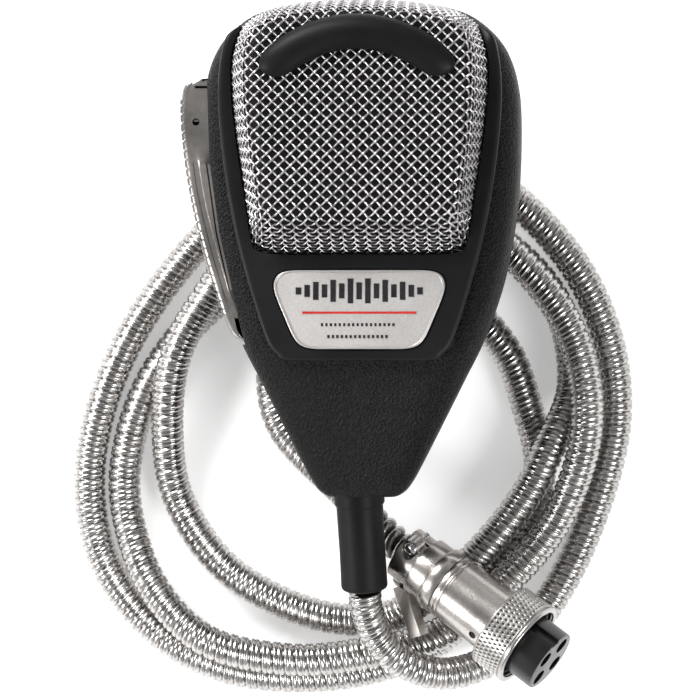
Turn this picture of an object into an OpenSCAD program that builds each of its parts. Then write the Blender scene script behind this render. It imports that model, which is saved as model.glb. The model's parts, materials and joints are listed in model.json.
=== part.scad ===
// Noise-cancelling hand microphone with a side talk bar, a hang button, an
// armoured cord and a four-pole screw-ring connector.
// X runs across the body, Y towards the head, Z out of the front.
// The origin is on the hang button's axis, at the back of the housing.

/* [Housing] */
// Z of the parting face between the two housing halves
part_z = 13; // [11:0.5:15]
// Side wall thickness of both halves
wall = 2.2; // [1.8:0.1:2.6]
// Thickness of the front face, which holds the bezel pocket
face = 5; // [4.5:0.1:5.5]
// Squareness of the front half's cross-section
front_power = 6; // [4:0.5:7]
// Squareness of the rear half's cross-section
rear_power = 3; // [2.5:0.5:4]

/* [Grille and bezel] */
// Z of the flat front of the wire grille
grille_z = 37; // [34:0.5:39]
// Z of the grille's shoulder, where its walls meet the bezel
grille_base_z = 25; // [24:0.5:26]
// Thickness of the pressed wire cloth
mesh_t = 0.8; // [0.6:0.1:1.2]
// Z of the bezel's front face
bezel_z = 28.2; // [27.5:0.1:29]
// Depth of the bezel's pocket in the housing
pocket_d = 4.2; // [3.8:0.1:4.4]
// Half width of the lip guard at its middle
guard_w = 3.6; // [3:0.1:3.8]
// Height of the lip guard above the grille
guard_h = 3; // [2.4:0.1:3.4]

/* [Talk bar] */
// Lowest Z of the talk bar
bar_z0 = 5.4; // [5.2:0.1:6]
// Highest Z of the talk bar
bar_z1 = 21.5; // [20.5:0.1:21.6]
// Wall thickness of the talk bar
bar_t = 1.5; // [1.2:0.1:1.8]
// Radius of the pivot pin
pin_r = 1; // [0.8:0.1:1.2]
// Radial running clearance of pins and plungers
run = 0.05; // [0.03:0.01:0.1]

/* [Hang button] */
// Diameter of the button's head
button_d = 16; // [14:0.5:18]
// Diameter of the button's neck
neck_d = 8; // [6:0.5:9]
// Distance that the button stands out of the back
button_h = 4.7; // [4:0.1:4.8]
// Thickness of the button's head
head_t = 2; // [1.6:0.1:2.2]

/* [Cord] */
// Outside diameter of the armoured cord
cord_d = 6.8; // [6:0.1:6.8]
// Sides of the cord's plain tube
cord_sides = 10; // [8:1:12]
// Rings along the cord's plain tube
cord_rings = 84; // [80:1:90]

/* [Connector] */
// Radius of the connector's barrel
barrel_r = 7; // [6.6:0.1:7.2]
// Outside radius of the knurled coupling ring
ring_r = 9.3; // [9.1:0.1:9.6]
// Radius of the insert
insert_r = 6.7; // [6.4:0.1:6.8]
// Pitch circle diameter of the four sockets
socket_pcd = 8; // [7:0.1:8.4]
// Bore radius of each socket
socket_r = 0.8; // [0.7:0.05:0.9]

/* [Hidden] */
$fn = 48;
eps = 0.01;
far = 60;

// Stations of the body from the head to the cord end:
// Y, half width, Z of the back, Z of the front.
body_stations = [
    [50.2, 11, 9, 21],
    [49, 18, 5, 24],
    [46.5, 23.8, 2, 26.2],
    [41, 29.2, 0.5, 27],
    [33, 31.9, 0, 27.2],
    [22, 32.4, 0, 27.2],
    [8, 31.6, 0, 27.2],
    [-6, 29.1, 0, 27.1],
    [-18, 25, 0, 26.8],
    [-27, 20.6, 0, 25],
    [-38, 15.1, 0.5, 22.6],
    [-47, 10.4, 1.5, 20.8],
    [-50.5, 7.7, 3, 19.4]
];

// Half outlines, X and Y, from the lower middle round to the head's middle.
grille_half = [
    [0, -1.3], [15, -1.3], [20.3, -0.6], [22, 1.5], [23.6, 12], [25.3, 24],
    [26.1, 34], [25.6, 40.6], [23.2, 45.2], [18, 48.1], [9.5, 49.7], [0, 50.1]
];
grille_top_half = [
    [0, 6.5], [13, 6.5], [17.3, 7.1], [18.8, 9], [20, 16], [21.3, 25],
    [22, 34], [21.6, 39.5], [19.5, 44], [14.5, 46], [7.5, 46.8], [0, 47]
];
bezel_half = [
    [0, -22.6], [13.5, -22.6], [16.6, -21.4], [19.4, -17], [24.4, -0.3],
    [27.3, 15], [28.7, 30], [27.9, 40], [25.6, 45], [21, 47.4], [8, 48], [0, 48]
];
badge_half = [
    [0, -20.3], [11.2, -20.3], [13.7, -18.8], [17.4, -9.2], [17.7, -6.6],
    [15.6, -4.5], [0, -4.4]
];
grille_mid = [0, 24.5];

// Talk bar outlines: the housing's edge beside the bar, and the bar's outer edge.
bar_edge = [
    [-31.4, 35.3], [-31.2, 32.5], [-30.6, 17.4], [-28.6, 3.3], [-26.2, -7.3],
    [-24.2, -16.6], [-23.5, -19.4]
];
bar_outer = [
    [-31.4, 34.9], [-35, 34.3], [-36.8, 32.4], [-37, 26], [-36.2, 18],
    [-34.9, 10], [-32.5, 0], [-29.4, -10.3], [-27.2, -16.4], [-24.6, -18.9]
];
bar_lap = 1.5;
hinge = [-28.5, 27];
knuckle_r = 2.4;
bar_angle = 3.5;
slot_gap = 0.5;
pusher_y = -7.5;
plunger_tip_x = -24.8;
plunger_r = 1.2;
plunger_z = 13.5;
switch_x = -21;
switch_size = [8, 9, 9];

cartridge_at = [0, 25];
cartridge_r = 13.5;
cartridge_z = 12;
cartridge_h = 10;

screw_spots = [[-8.5, -35], [8.5, -35], [-15, -17], [15, -17]];
boss_r = 3;
screw_r = 1.3;
screw_head_r = 2.6;
screw_sink = 3.2;

board_size = [19, 14, 1.6];
board_at = [0, -24, 8];
board_spots = [[-7.5, -28.5], [7.5, -19.5]];

clamp_y = -40.5;
clamp_z = 11.5;

guard_at = [0, 24.8];
guard_mid_r = 18.3;
guard_angle = 62;
guard_points = 12;

// The strain relief leaves the housing at boot_at and droops to the cord.
boot_at = [-1.1, -50.5, 10];
boot_droop = 13;
boot_lean = 2.6;
boot_len = 20;
boot_r = 4.8;
boot_bore_r = 2.2;

// Route of the cord's middle from the strain relief to the connector. It runs
// three and a half times round the microphone and lies under it.
cord_route = [
    [-0.2, -70.4, 5.4], [0.1, -74, 4.2], [2, -79.5, 1.2], [7, -85.2, -1.8], [16, -88.2, -5.8],
    [27, -84.5, -10.5], [38, -73, -15.5], [46.5, -55.5, -16], [51.5, -35.5, -16],
    [49.5, -17, -16], [41, 0, -16], [25, 15, -16], [5, 22.5, -16],
    [-15.5, 20, -16], [-34, 5, -16], [-48.5, -13, -16], [-57, -31, -16],
    [-60, -49, -16], [-56.5, -66, -16], [-45.5, -80, -16], [-30, -88, -16],
    [-11, -89.5, -16], [6, -86, -16], [17.5, -79, -16], [27, -66.5, -16],
    [34, -54, -16], [35.5, -44, -16], [33, -33, -16], [28, -20, -16],
    [16, -8, -16], [-1, -1.5, -16], [-20, -2.5, -16], [-35, -12, -16],
    [-46, -25.5, -16], [-51.5, -40, -16], [-52, -54, -15], [-46, -70, -10.5],
    [-34.5, -81.5, -9], [-17, -85.5, -9], [0, -84, -9], [15.5, -79.5, -9],
    [29, -68.5, -8.9], [40, -54.5, -8.4], [45.5, -36, -5.6], [42.5, -17.5, -8.5],
    [31.5, -2, -8.8], [15, 10.5, -8.8], [-4, 15.5, -8.8], [-22, 6.5, -8.8],
    [-34, -9, -8.8], [-41, -22, -8.8], [-43, -37, -12.5], [-41, -52, -16],
    [-31, -66.5, -16], [-15, -75.5, -16], [0.5, -77.5, -16], [12, -72.5, -14.5],
    [23, -63, -9.5], [32, -52, -8.8], [37.2, -42.2, -9], [42.5, -28, -14],
    [39.5, -11.5, -16], [29, 1, -16], [15, 7.5, -16], [1, 8, -14.2],
    [-12.8, 2, -9.2], [-18.5, -9, -9.6], [-21, -23, -13.5], [-18.5, -37, -13],
    [-5.2, -50.4, -7], [1.5, -56.8, -3.6], [8, -62.5, -0.7], [13.1, -66.3, 1]
];

// The connector's own frame has Z along its axis, from the cord to the face.
plug_at = [10, -64, 0];
plug_tilt = 75;
plug_turn = -36;
sleeve_r = 6.5;
sleeve_z0 = 2;
sleeve_end = 8.95;
barrel_z0 = 9;
barrel_bore_r = 5.2;
barrel_end = 25.6;
set_screw_z = 20.6;
set_screw_turn = 226;
jaw_turn = 45;
jaw_z0 = -2.8;
jaw_r = 5.8;
jaw_screws = [-5, 5];
jaw_screw_z = -0.5;
ring_z0 = 22.6;
ring_len = 7.8;
insert_z0 = 14;
insert_root_r = 6;
insert_end = 36;
mouth_r = 1.75;
mouth_d = 2.5;
contact_z0 = 13.2;
contact_r = 1.18;
contact_end = insert_end - mouth_d - 0.05;
plug_bore_r = 3.7;

// The hook bar's top, its lean, its turn about its own length, and its length.
hook_at = [7.2, -69.4, -0.4];
hook_lean = 19;
hook_turn = 38;
hook_len = 11.2;

// ---- curves and lofts ----

// A point on the smooth curve through p, at t counted in points.
function mirror_end(p, i) = i < 0 ? 2 * p[0] - p[1]
    : i >= len(p) ? 2 * p[len(p) - 1] - p[len(p) - 2] : p[i];
function curve_at(p, t) =
    let (i = min(floor(t), len(p) - 2), f = t - i,
        a = mirror_end(p, i - 1), b = p[i], c = p[i + 1], d = mirror_end(p, i + 2))
    0.5 * (2 * b + (c - a) * f + (2 * a - 5 * b + 4 * c - d) * f * f
        + (3 * b - a - 3 * c + d) * f * f * f);
function smooth(p, steps) =
    [for (k = [0:steps]) curve_at(p, (len(p) - 1) * k / steps)];

// A closed outline from a half one: the half, then its mirror image.
function both_sides(half) = concat(
    half, [for (i = [len(half) - 2:-1:1]) [-half[i][0], half[i][1]]]);
function grow(outline, d, mid) = [for (q = outline)
    let (v = q - mid, far_off = norm(v)) mid + v * (far_off + d) / far_off];
function blend(a, b, f) = [for (i = [0:len(a) - 1]) a[i] * (1 - f) + b[i] * f];
function at_z(outline, z) = [for (q = outline) [q[0], q[1], z]];

// A solid through rings that all have the same number of points.
module loft(rings) {
    n = len(rings[0]);
    last = len(rings) - 1;
    polyhedron(
        points = [for (r = rings) each r],
        faces = concat(
            [[for (i = [0:n - 1]) i]],
            [[for (i = [n - 1:-1:0]) last * n + i]],
            [for (k = [0:last - 1], i = [0:n - 1]) let (j = (i + 1) % n)
                each [[k * n + i, (k + 1) * n + j, k * n + j],
                    [k * n + i, (k + 1) * n + i, (k + 1) * n + j]]]));
}

// A tube of the given radius along the points of a path.
function unit(v) = v / norm(v);
function path_way(p, i) = unit(p[min(i + 1, len(p) - 1)] - p[max(i - 1, 0)]);
function carried(side, way) = unit(side - way * (side * way));
function sides_along(p, i, side) = i == len(p) ? []
    : let (s = carried(side, path_way(p, i))) concat([s], sides_along(p, i + 1, s));
module tube(path, r, n) {
    sides = sides_along(path, 0, [0.3, 0.1, 0.95]);
    loft([for (i = [0:len(path) - 1])
        let (w = path_way(path, i), s = sides[i], u = cross(w, s))
        [for (k = [0:n - 1]) let (a = 360 * k / n)
            path[i] + r * (s * cos(a) + u * sin(a))]]);
}

// ---- the body's outer form ----

section_points = 22;
body_rings = 34;

// Half a cross-section: a squared arc from one side over to the other.
function half_section(w, z_from, z_to, power, y) =
    [for (k = [0:section_points]) let (a = 180 * k / section_points)
        [w * sign(cos(a)) * pow(abs(cos(a)), 2 / power), y,
            z_from + (z_to - z_from) * pow(abs(sin(a)), 2 / power)]];

// The half shell's solid: t_side and t_end shrink it for a cavity.
function front_rings(t_side, t_end, z_from) = [for (s = smooth(body_stations, body_rings))
    half_section(s[1] - t_side, z_from, s[3] - t_end, front_power,
        s[0] * (1 - t_side / 50.5))];
function rear_rings(t_side, z_from) = [for (s = smooth(body_stations, body_rings))
    half_section(s[1] - t_side, z_from, s[2] + t_side, rear_power,
        s[0] * (1 - t_side / 50.5))];

module front_form() loft(front_rings(0, 0, part_z));
module front_cavity() loft(front_rings(wall, face, part_z - 1));
module rear_form() mirror_loft(rear_rings(0, part_z));
module rear_cavity() mirror_loft(rear_rings(wall, part_z + 1));
module mirror_loft(rings) loft([for (i = [len(rings) - 1:-1:0]) rings[i]]);

outline_steps = 26;
grille_outline = both_sides(smooth(grille_half, outline_steps));
grille_top_outline = both_sides(smooth(grille_top_half, outline_steps));

// How the grille's outline shrinks to its flat front: share of the way, share of the height.
dome_steps = [[0, 0], [0.2, 0.3], [0.45, 0.62], [0.68, 0.84], [0.85, 0.95], [1, 1]];
grille_skirt_z = 14.2;

module grille_form(inset, drop, z_low) {
    base = grow(grille_outline, -inset, grille_mid);
    top = grow(grille_top_outline, -inset, grille_mid);
    rise = grille_z - drop - grille_base_z;
    loft(concat([at_z(base, z_low)], [for (d = dome_steps)
        at_z(blend(base, top, d[0]), grille_base_z + rise * d[1])]));
}

module slab(outline, z0, z1) translate([0, 0, z0]) linear_extrude(z1 - z0) polygon(outline);

// The space that the talk bar swings in, and the housing's edge above it.
function swept_edge(d) = [for (q = bar_edge)
    [q[0] + bar_lap + d + max(0, hinge[1] - q[1]) * sin(bar_angle), q[1]]];
module bar_slot() {
    slab(concat(swept_edge(slot_gap), [[-far, -19.4], [-far, 35.3]]),
        bar_z0 - slot_gap, bar_z1 + slot_gap);
    slab(concat(bar_edge, [[-far, -19.4], [-far, 35.3]]), bar_z1, far);
    translate([hinge[0], hinge[1], bar_z0 - slot_gap])
        cylinder(h = bar_z1 - bar_z0 + 2 * slot_gap, r = knuckle_r + slot_gap);
}

module boot_frame() translate(boot_at) rotate([90 + boot_droop, 0, boot_lean]) children();
module boot_hole() boot_frame() {
    translate([0, 0, -8]) cylinder(h = 12, r = boot_r + 0.6);
    translate([0, 0, -5.2]) cylinder(h = 2.4, r = boot_r + 2.2);
}

// ---- housing ----

module front_housing() color("#242426") difference() {
    union() {
        difference() {
            front_form();
            front_cavity();
        }
        intersection() {
            union() {
                for (s = screw_spots)
                    translate([s[0], s[1], part_z]) cylinder(h = 12, r = boss_r);
                translate([hinge[0], hinge[1], bar_z1 + slot_gap]) cylinder(h = 5, r = 2.5);
            }
            front_form();
        }
    }
    bar_slot();
    slab(grow(grille_outline, 0.3, grille_mid), part_z - 1, far);
    slab(both_sides(smooth(grow(bezel_half, 0.15, [0, 12]), 28)), bezel_z - pocket_d, far);
    for (s = screw_spots)
        translate([s[0], s[1], part_z - 1]) cylinder(h = 8, r = screw_r - 0.1);
    translate([hinge[0], hinge[1], bar_z1]) cylinder(h = 3, r = pin_r);
    boot_hole();
}

module rear_housing() color("#1f1f21") difference() {
    union() {
        difference() {
            rear_form();
            rear_cavity();
        }
        intersection() {
            union() {
                for (s = screw_spots)
                    translate([s[0], s[1], 0]) cylinder(h = part_z, r = boss_r + 0.3);
                translate([hinge[0], hinge[1], 1]) cylinder(h = bar_z0 - slot_gap - 1, r = 2.5);
                cylinder(h = 5, r = 6);
                for (s = board_spots)
                    translate([s[0], s[1], 1]) cylinder(h = board_at[2] - 1, r = 2.2);
                translate([-6.5, clamp_y - 2, 1]) cube([13, 4, clamp_z - 1]);
            }
            rear_form();
        }
    }
    bar_slot();
    for (s = screw_spots) translate([s[0], s[1], -1]) {
        cylinder(h = part_z + 2, r = screw_r + 0.2);
        cylinder(h = screw_sink + 1, r = screw_head_r + 0.2);
    }
    translate([0, 0, -1]) cylinder(h = 8, r = 1.7);
    translate([0, 0, 3.2]) cylinder(h = 3, r = 3.4, $fn = 6);
    translate([hinge[0], hinge[1], 3]) cylinder(h = 5, r = pin_r);
    for (s = board_spots) translate([s[0], s[1], 4]) cylinder(h = 6, r = 0.8);
    translate([0, clamp_y, clamp_z]) rotate([90, 0, 0]) cylinder(h = 6, r = 2.4, center = true);
    for (x = [-4.6, 4.6]) translate([x, clamp_y, 5]) cylinder(h = 10, r = 0.8);
    for (k = [-2:2])
        translate([-8, 25 + k * 4.5 - 0.8, -1]) cube([16, 1.6, 5]);
    boot_hole();
}

module housing_screws() color("#2c2c2e") for (s = screw_spots)
    translate([s[0], s[1], 1]) difference() {
        union() {
            cylinder(h = screw_sink - 1, r = screw_head_r);
            cylinder(h = part_z + 5, r = screw_r - 0.15);
        }
        translate([0, 0, -eps]) for (a = [0, 90])
            rotate(a) translate([-1.6, -0.3, 0]) cube([3.2, 0.6, 1]);
    }

// ---- front ----

module front_bezel() color("#161617") difference() {
    slab(both_sides(smooth(bezel_half, 28)), bezel_z - pocket_d, bezel_z);
    slab(grow(grille_outline, 0.3, grille_mid), 0, far);
    translate([-far, 45.6, 0]) cube([2 * far, 20, far]);
    slab(both_sides(smooth(grow(badge_half, 0.2, [0, -12]), 26)), bezel_z - 1.2, far);
}

module badge_plate() color("#c9c6c2")
    slab(both_sides(smooth(badge_half, 26)), bezel_z - 1.2, bezel_z + 0.5);

module grille_mesh() color("#b9babd") difference() {
    grille_form(0, 0, grille_skirt_z);
    grille_form(mesh_t, mesh_t, grille_skirt_z - 1);
}

module windscreen_foam() color("#1a1a1a") grille_form(1.6, 1.5, 24);

module baffle_plate() color("#303033") difference() {
    slab(grow(grille_outline, -0.85, grille_mid), 22.02, 23.6);
    translate([cartridge_at[0], cartridge_at[1], 20]) cylinder(h = 6, r = 9);
    for (a = [0:45:315]) translate([cartridge_at[0], cartridge_at[1], 20])
        rotate(a) translate([14, 0, 0]) cylinder(h = 6, r = 2);
}

// Half an oval, standing on the grille's front, at an angle from the middle.
function guard_share(a) = pow(a / guard_angle, 2);
function guard_round(a) = sqrt(1.06 - pow(a / guard_angle, 12));
function guard_ring(a) = [for (k = [0:guard_points])
    let (b = 180 * k / guard_points, s = guard_round(a),
        r = guard_mid_r + 2.4 * guard_share(a) + s * (guard_w + 0.1 * guard_share(a)) * cos(b))
    [guard_at[0] + r * sin(a), guard_at[1] + r * cos(a),
        grille_z + 0.02 + s * (guard_h - 1.4 * guard_share(a)) * sin(b)]];
module lip_guard() color("#1b1b1c")
    loft([for (a = [-guard_angle:guard_angle / 12:guard_angle]) guard_ring(a)]);

// ---- inside ----

module mic_cartridge() color("#9a9ca0") translate([cartridge_at[0], cartridge_at[1], 0])
    difference() {
        union() {
            translate([0, 0, cartridge_z]) cylinder(h = cartridge_h, r = cartridge_r);
            translate([0, 0, cartridge_z - 1.5]) cylinder(h = 2, r = 9);
        }
        for (a = [0:60:300]) rotate(a) translate([6, 0, cartridge_z + cartridge_h - 1.5])
            cylinder(h = 3, r = 1.5);
        translate([0, 0, cartridge_z + cartridge_h - 1.5]) cylinder(h = 3, r = 1.5);
    }

module cartridge_boot() color("#2a2a2a") translate([cartridge_at[0], cartridge_at[1], 0])
    difference() {
        translate([0, 0, cartridge_z + 1]) cylinder(h = cartridge_h - 1.2, r = cartridge_r + 2.5);
        translate([0, 0, cartridge_z]) cylinder(h = cartridge_h + 2, r = cartridge_r + 0.02);
    }

module ptt_switch() color("#3a3a3d") difference() {
    translate([switch_x, pusher_y - switch_size[1] / 2, 8.5]) cube(switch_size);
    translate([switch_x - 1, pusher_y, plunger_z]) rotate([0, 90, 0])
        cylinder(h = 6.6, r = plunger_r + run);
}

module switch_plunger() color("#b04030")
    translate([plunger_tip_x, pusher_y, plunger_z]) rotate([0, 90, 0])
        cylinder(h = 6.8, r = plunger_r);

module circuit_board() color("#2f6b3c") translate(board_at) difference() {
    union() {
        translate([-board_size[0] / 2, -board_size[1] / 2, 0]) cube(board_size);
        for (x = [-5, 0, 4.5]) translate([x, 1, board_size[2]]) cube([2.6, 1.8, 1.4]);
        translate([-3, -3.5, board_size[2]]) cylinder(h = 3, r = 1.8);
    }
    for (s = board_spots) translate([s[0] - board_at[0], s[1] - board_at[1], -1])
        cylinder(h = 5, r = 1.1);
}

module board_screws() color("#8d8f93") for (s = board_spots)
    translate([s[0], s[1], 4.5]) {
        cylinder(h = board_at[2] + board_size[2] - 4.5, r = 0.75);
        translate([0, 0, board_at[2] + board_size[2] - 4.5]) cylinder(h = 1.2, r = 1.7);
    }

wire_r = 0.6;
lead_paths = [
    [[-3, 15.6, 11.2], [-5, 4, 11.8], [-6, -8, 11.8], [-5.5, -14, 11.5], [-5, -19, 10.3]],
    [[3, 15.6, 11.2], [5, 4, 11.8], [6, -8, 11.8], [4, -14, 11.5], [2, -19, 10.3]],
    [[-12.3, -9, 11], [-10.5, -12, 11], [-9, -16, 10.8], [-8, -19.5, 10.3]],
    [[0, -29, 10.8], [0, -33, 11.1], [-0.3, -38, 11.5], [-0.9, -43.5, 11.5],
        [-1.1, -48, 10.6], [-0.85, -56, 8.8]]
];
module lead_wires() for (i = [0:len(lead_paths) - 1])
    color(["#b03030", "#303030", "#d0d0d0", "#4a4a4a"][i])
        tube(smooth(lead_paths[i], 12), i == 3 ? 1.1 : wire_r, 8);

module inner_cord_clamp() color("#8d8f93") difference() {
    translate([-6.5, clamp_y - 1.8, clamp_z + 1.2]) cube([13, 3.6, 1.4]);
    for (x = [-4.6, 4.6]) translate([x, clamp_y, clamp_z]) cylinder(h = 4, r = 1);
}

module inner_clamp_screws() color("#a5a7ab") for (x = [-4.6, 4.6])
    translate([x, clamp_y, 6]) {
        cylinder(h = clamp_z + 2.6 - 6, r = 0.75);
        translate([0, 0, clamp_z + 2.6 - 6]) cylinder(h = 1.1, r = 1.6);
    }

// ---- talk bar ----

function bar_inner(d) = [for (i = [len(bar_edge) - 1:-1:0])
    [bar_edge[i][0] + bar_lap + d, min(34.6, max(-18.6, bar_edge[i][1]))]];
module bar_plan(d) polygon(concat(smooth(bar_outer, 36), bar_inner(d)));

module ptt_bar() color("#8f8a84") difference() {
    union() {
        difference() {
            translate([0, 0, bar_z0]) linear_extrude(bar_z1 - bar_z0) bar_plan(0);
            translate([bar_t, 0, bar_z0 + bar_t])
                linear_extrude(bar_z1 - bar_z0 - 2 * bar_t)
                intersection() {
                    bar_plan(4);
                    translate([-far, -16.5]) square([2 * far, 49.6]);
                }
        }
        translate([hinge[0], hinge[1], bar_z0]) cylinder(h = bar_z1 - bar_z0, r = knuckle_r);
        translate([-35.6, hinge[1] - 1, bar_z0]) cube([6, 2, bar_z1 - bar_z0]);
        translate([-29.6, pusher_y - 1.5, plunger_z - 2.5])
            cube([plunger_tip_x - 0.1 + 29.6, 3, 5]);
    }
    translate([hinge[0], hinge[1], bar_z0 - 1]) cylinder(h = 20, r = pin_r + run);
    translate([hinge[0] - 3.2, hinge[1] - 6, 11]) cube([6.6, 12, 5]);
    translate([-33.6, 25.8, bar_z1 - 0.5]) cylinder(h = 2, r = 1);
}

module ptt_pivot_pin() color("#c8cacd")
    translate([hinge[0], hinge[1], 3.2]) cylinder(h = 20.6, r = pin_r - 0.01);

// A torsion spring round the pin, with one leg on the bar and one on the housing.
spring_r = 1.75;
spring_turns = 4;
spring_path = concat(
    [[-4.9, -9, 0.3], [-2.6, -4, 0.3]],
    [for (k = [0:12 * spring_turns]) [-spring_r * cos(30 * k), spring_r * sin(30 * k),
        0.3 + 3.6 * k / (12 * spring_turns)]],
    [[-1.3, -4, 3.9], [-0.4, -8, 3.9]]);
module ptt_return_spring() color("#b5b7ba")
    translate([hinge[0], hinge[1], 11.6]) tube(spring_path, 0.3, 6);

// ---- hang button ----

module hang_button() color("#b8babd") mirror([0, 0, 1]) difference() {
    union() {
        cylinder(h = button_h - head_t + eps, r = neck_d / 2);
        translate([0, 0, button_h - head_t]) cylinder(h = head_t, r = button_d / 2);
    }
    translate([0, 0, -1]) cylinder(h = 8, r = 1.7);
    translate([0, 0, button_h - 1.8]) cylinder(h = 3, r = 3.1);
}

module hang_button_screw() color("#8d8f93") translate([0, 0, -button_h]) difference() {
    union() {
        cylinder(h = button_h + 6, r = 1.45);
        translate([0, 0, 0.2]) cylinder(h = 1.5, r = 2.9);
    }
    for (a = [0, 90]) rotate(a) translate([-1.7, -0.35, 0]) cube([3.4, 0.7, 1]);
    cylinder(h = 0.2, r = 3);
}

module hang_button_nut() color("#a5a7ab") difference() {
    translate([0, 0, 3.3]) cylinder(h = 2.4, r = 3.2, $fn = 6);
    cylinder(h = 8, r = 1.5);
}

// ---- strain relief and cord ----

module strain_relief() color("#1d1d1e") boot_frame() difference() {
    union() {
        translate([0, 0, -5]) cylinder(h = 2, r = boot_r + 1.9);
        translate([0, 0, -6.5]) cylinder(h = 8, r = boot_r + 0.4);
        cylinder(h = boot_len - 1.2, r = boot_r);
        translate([0, 0, boot_len - 1.2]) cylinder(h = 1.2, r = boot_r - 0.7);
    }
    translate([0, 0, -10]) cylinder(h = 40, r = boot_bore_r);
}

module armoured_cord() color("#c4c6c9")
    tube(smooth(cord_route, cord_rings - 1), cord_d / 2, cord_sides);

// ---- connector ----

module plug_frame() translate(plug_at) rotate([0, plug_tilt, plug_turn]) children();

module connector_barrel() color("#b9b3ad") plug_frame() difference() {
    union() {
        translate([0, 0, barrel_z0]) cylinder(h = barrel_end - barrel_z0, r = barrel_r);
        translate([0, 0, barrel_end - 1.2]) cylinder(h = 1.2, r = barrel_r + 0.8);
    }
    cylinder(h = 40, r = barrel_bore_r);
    translate([0, 0, insert_z0]) cylinder(h = 40, r = insert_root_r + 0.02);
    translate([0, 0, set_screw_z]) rotate([0, 90, set_screw_turn]) cylinder(h = 20, r = 1);
    translate([0, 0, 10.6]) rotate_extrude() translate([barrel_r, 0]) circle(r = 0.35);
}

// The cord is held between two jaws: one is part of the sleeve, the other is the saddle.
module jaw(z1, x0, depth) intersection() {
    translate([0, 0, jaw_z0]) cylinder(h = z1 - jaw_z0, r = jaw_r);
    translate([x0, -jaw_r, jaw_z0]) cube([depth, 2 * jaw_r, z1 - jaw_z0]);
}
module on_jaw_screws(x) for (y = jaw_screws)
    translate([x, y, jaw_screw_z]) rotate([0, 90, 0]) children();

module connector_sleeve() color("#c2bcb6") plug_frame() difference() {
    union() {
        translate([0, 0, sleeve_z0]) cylinder(h = sleeve_end - sleeve_z0, r = sleeve_r);
        translate([0, 0, sleeve_z0]) cylinder(h = 11, r = barrel_bore_r - 0.02);
        translate([0, 0, 6]) cylinder(h = sleeve_end - 6, r = barrel_r);
        rotate(jaw_turn) {
            jaw(sleeve_z0 + 0.5, 0.3, 8);
            on_jaw_screws(0.3) cylinder(h = 3.2, r = 1.8);
        }
    }
    translate([0, 0, jaw_z0 - 1]) cylinder(h = 30, r = plug_bore_r);
    rotate(jaw_turn) on_jaw_screws(-1) cylinder(h = 8, r = 0.8);
}

module cord_saddle() color("#c2bcb6") plug_frame() rotate(jaw_turn) difference() {
    union() {
        jaw(sleeve_z0 - 0.1, -8.3, 8);
        on_jaw_screws(-2.5) cylinder(h = 2.2, r = 1.9);
    }
    translate([0, 0, jaw_z0 - 1]) cylinder(h = 20, r = plug_bore_r);
    on_jaw_screws(-4) cylinder(h = 8, r = 0.95);
    on_jaw_screws(-8) cylinder(h = 5.5, r = 1.65);
}

module saddle_screws() color("#d4d5d7") plug_frame() rotate(jaw_turn) on_jaw_screws(0)
    difference() {
        union() {
            translate([0, 0, -3.72]) cylinder(h = 1.2, r = 1.5);
            translate([0, 0, -2.6]) cylinder(h = 5.6, r = 0.75);
        }
        translate([-1.2, -0.2, -3.8]) cube([2.4, 0.4, 0.6]);
    }

module coupling_ring() color("#d5d6d8") plug_frame() difference() {
    translate([0, 0, ring_z0]) cylinder(h = ring_len, r = ring_r);
    translate([0, 0, ring_z0 - 1]) cylinder(h = 20, r = barrel_r + run);
    translate([0, 0, ring_z0 + 1.5]) cylinder(h = 20, r = ring_r - 1.2);
}

socket_spots = [for (a = [0:90:270]) socket_pcd / 2 * [cos(a), sin(a)]];

module connector_insert() color("#141416") plug_frame() difference() {
    union() {
        translate([0, 0, insert_z0 + 0.05]) cylinder(h = 14, r = insert_root_r);
        translate([0, 0, barrel_end + 0.05])
            cylinder(h = insert_end - barrel_end - 0.05, r = insert_r);
    }
    for (s = socket_spots) translate([s[0], s[1], 10]) {
        cylinder(h = 30, r = contact_r + 0.02);
        translate([0, 0, insert_end - mouth_d - 10]) cylinder(h = 10, r = mouth_r);
    }
    rotate(-37) translate([-insert_r - 0.4, -1, 27]) cube([1.4, 2, 20]);
}

module connector_contacts() color("#c9a24a") plug_frame() for (s = socket_spots)
    translate([s[0], s[1], contact_z0]) difference() {
        cylinder(h = contact_end - contact_z0, r = contact_r);
        translate([0, 0, -1]) cylinder(h = 30, r = socket_r);
    }

module set_screw() color("#77797c") plug_frame() translate([0, 0, set_screw_z])
    rotate([0, 90, set_screw_turn]) translate([0, 0, insert_root_r + 0.04]) difference() {
        cylinder(h = 0.7, r = 0.95);
        translate([-1, -0.15, 0.4]) cube([2, 0.3, 1]);
    }

// A square bar that leans on the sleeve and takes the pull of an anchor wire.
module anchor_hook() color("#a39c95") difference() {
    translate(hook_at) rotate([90, 0, 0]) rotate([0, hook_lean, 0]) rotate(hook_turn) {
        translate([-1.5, -1.3, 0]) cube([3, 2.6, hook_len]);
        translate([-1.5, -1.3, 0]) cube([6.7, 2.6, 2.2]);
    }
    plug_frame() {
        translate([0, 0, jaw_z0 - 1]) cylinder(h = 12, r = sleeve_r + 0.02);
        translate([0, 0, 5.98]) cylinder(h = 20, r = barrel_r + 0.02);
        rotate(jaw_turn) on_jaw_screws(-9) cylinder(h = 12, r = 2);
    }
}

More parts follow.
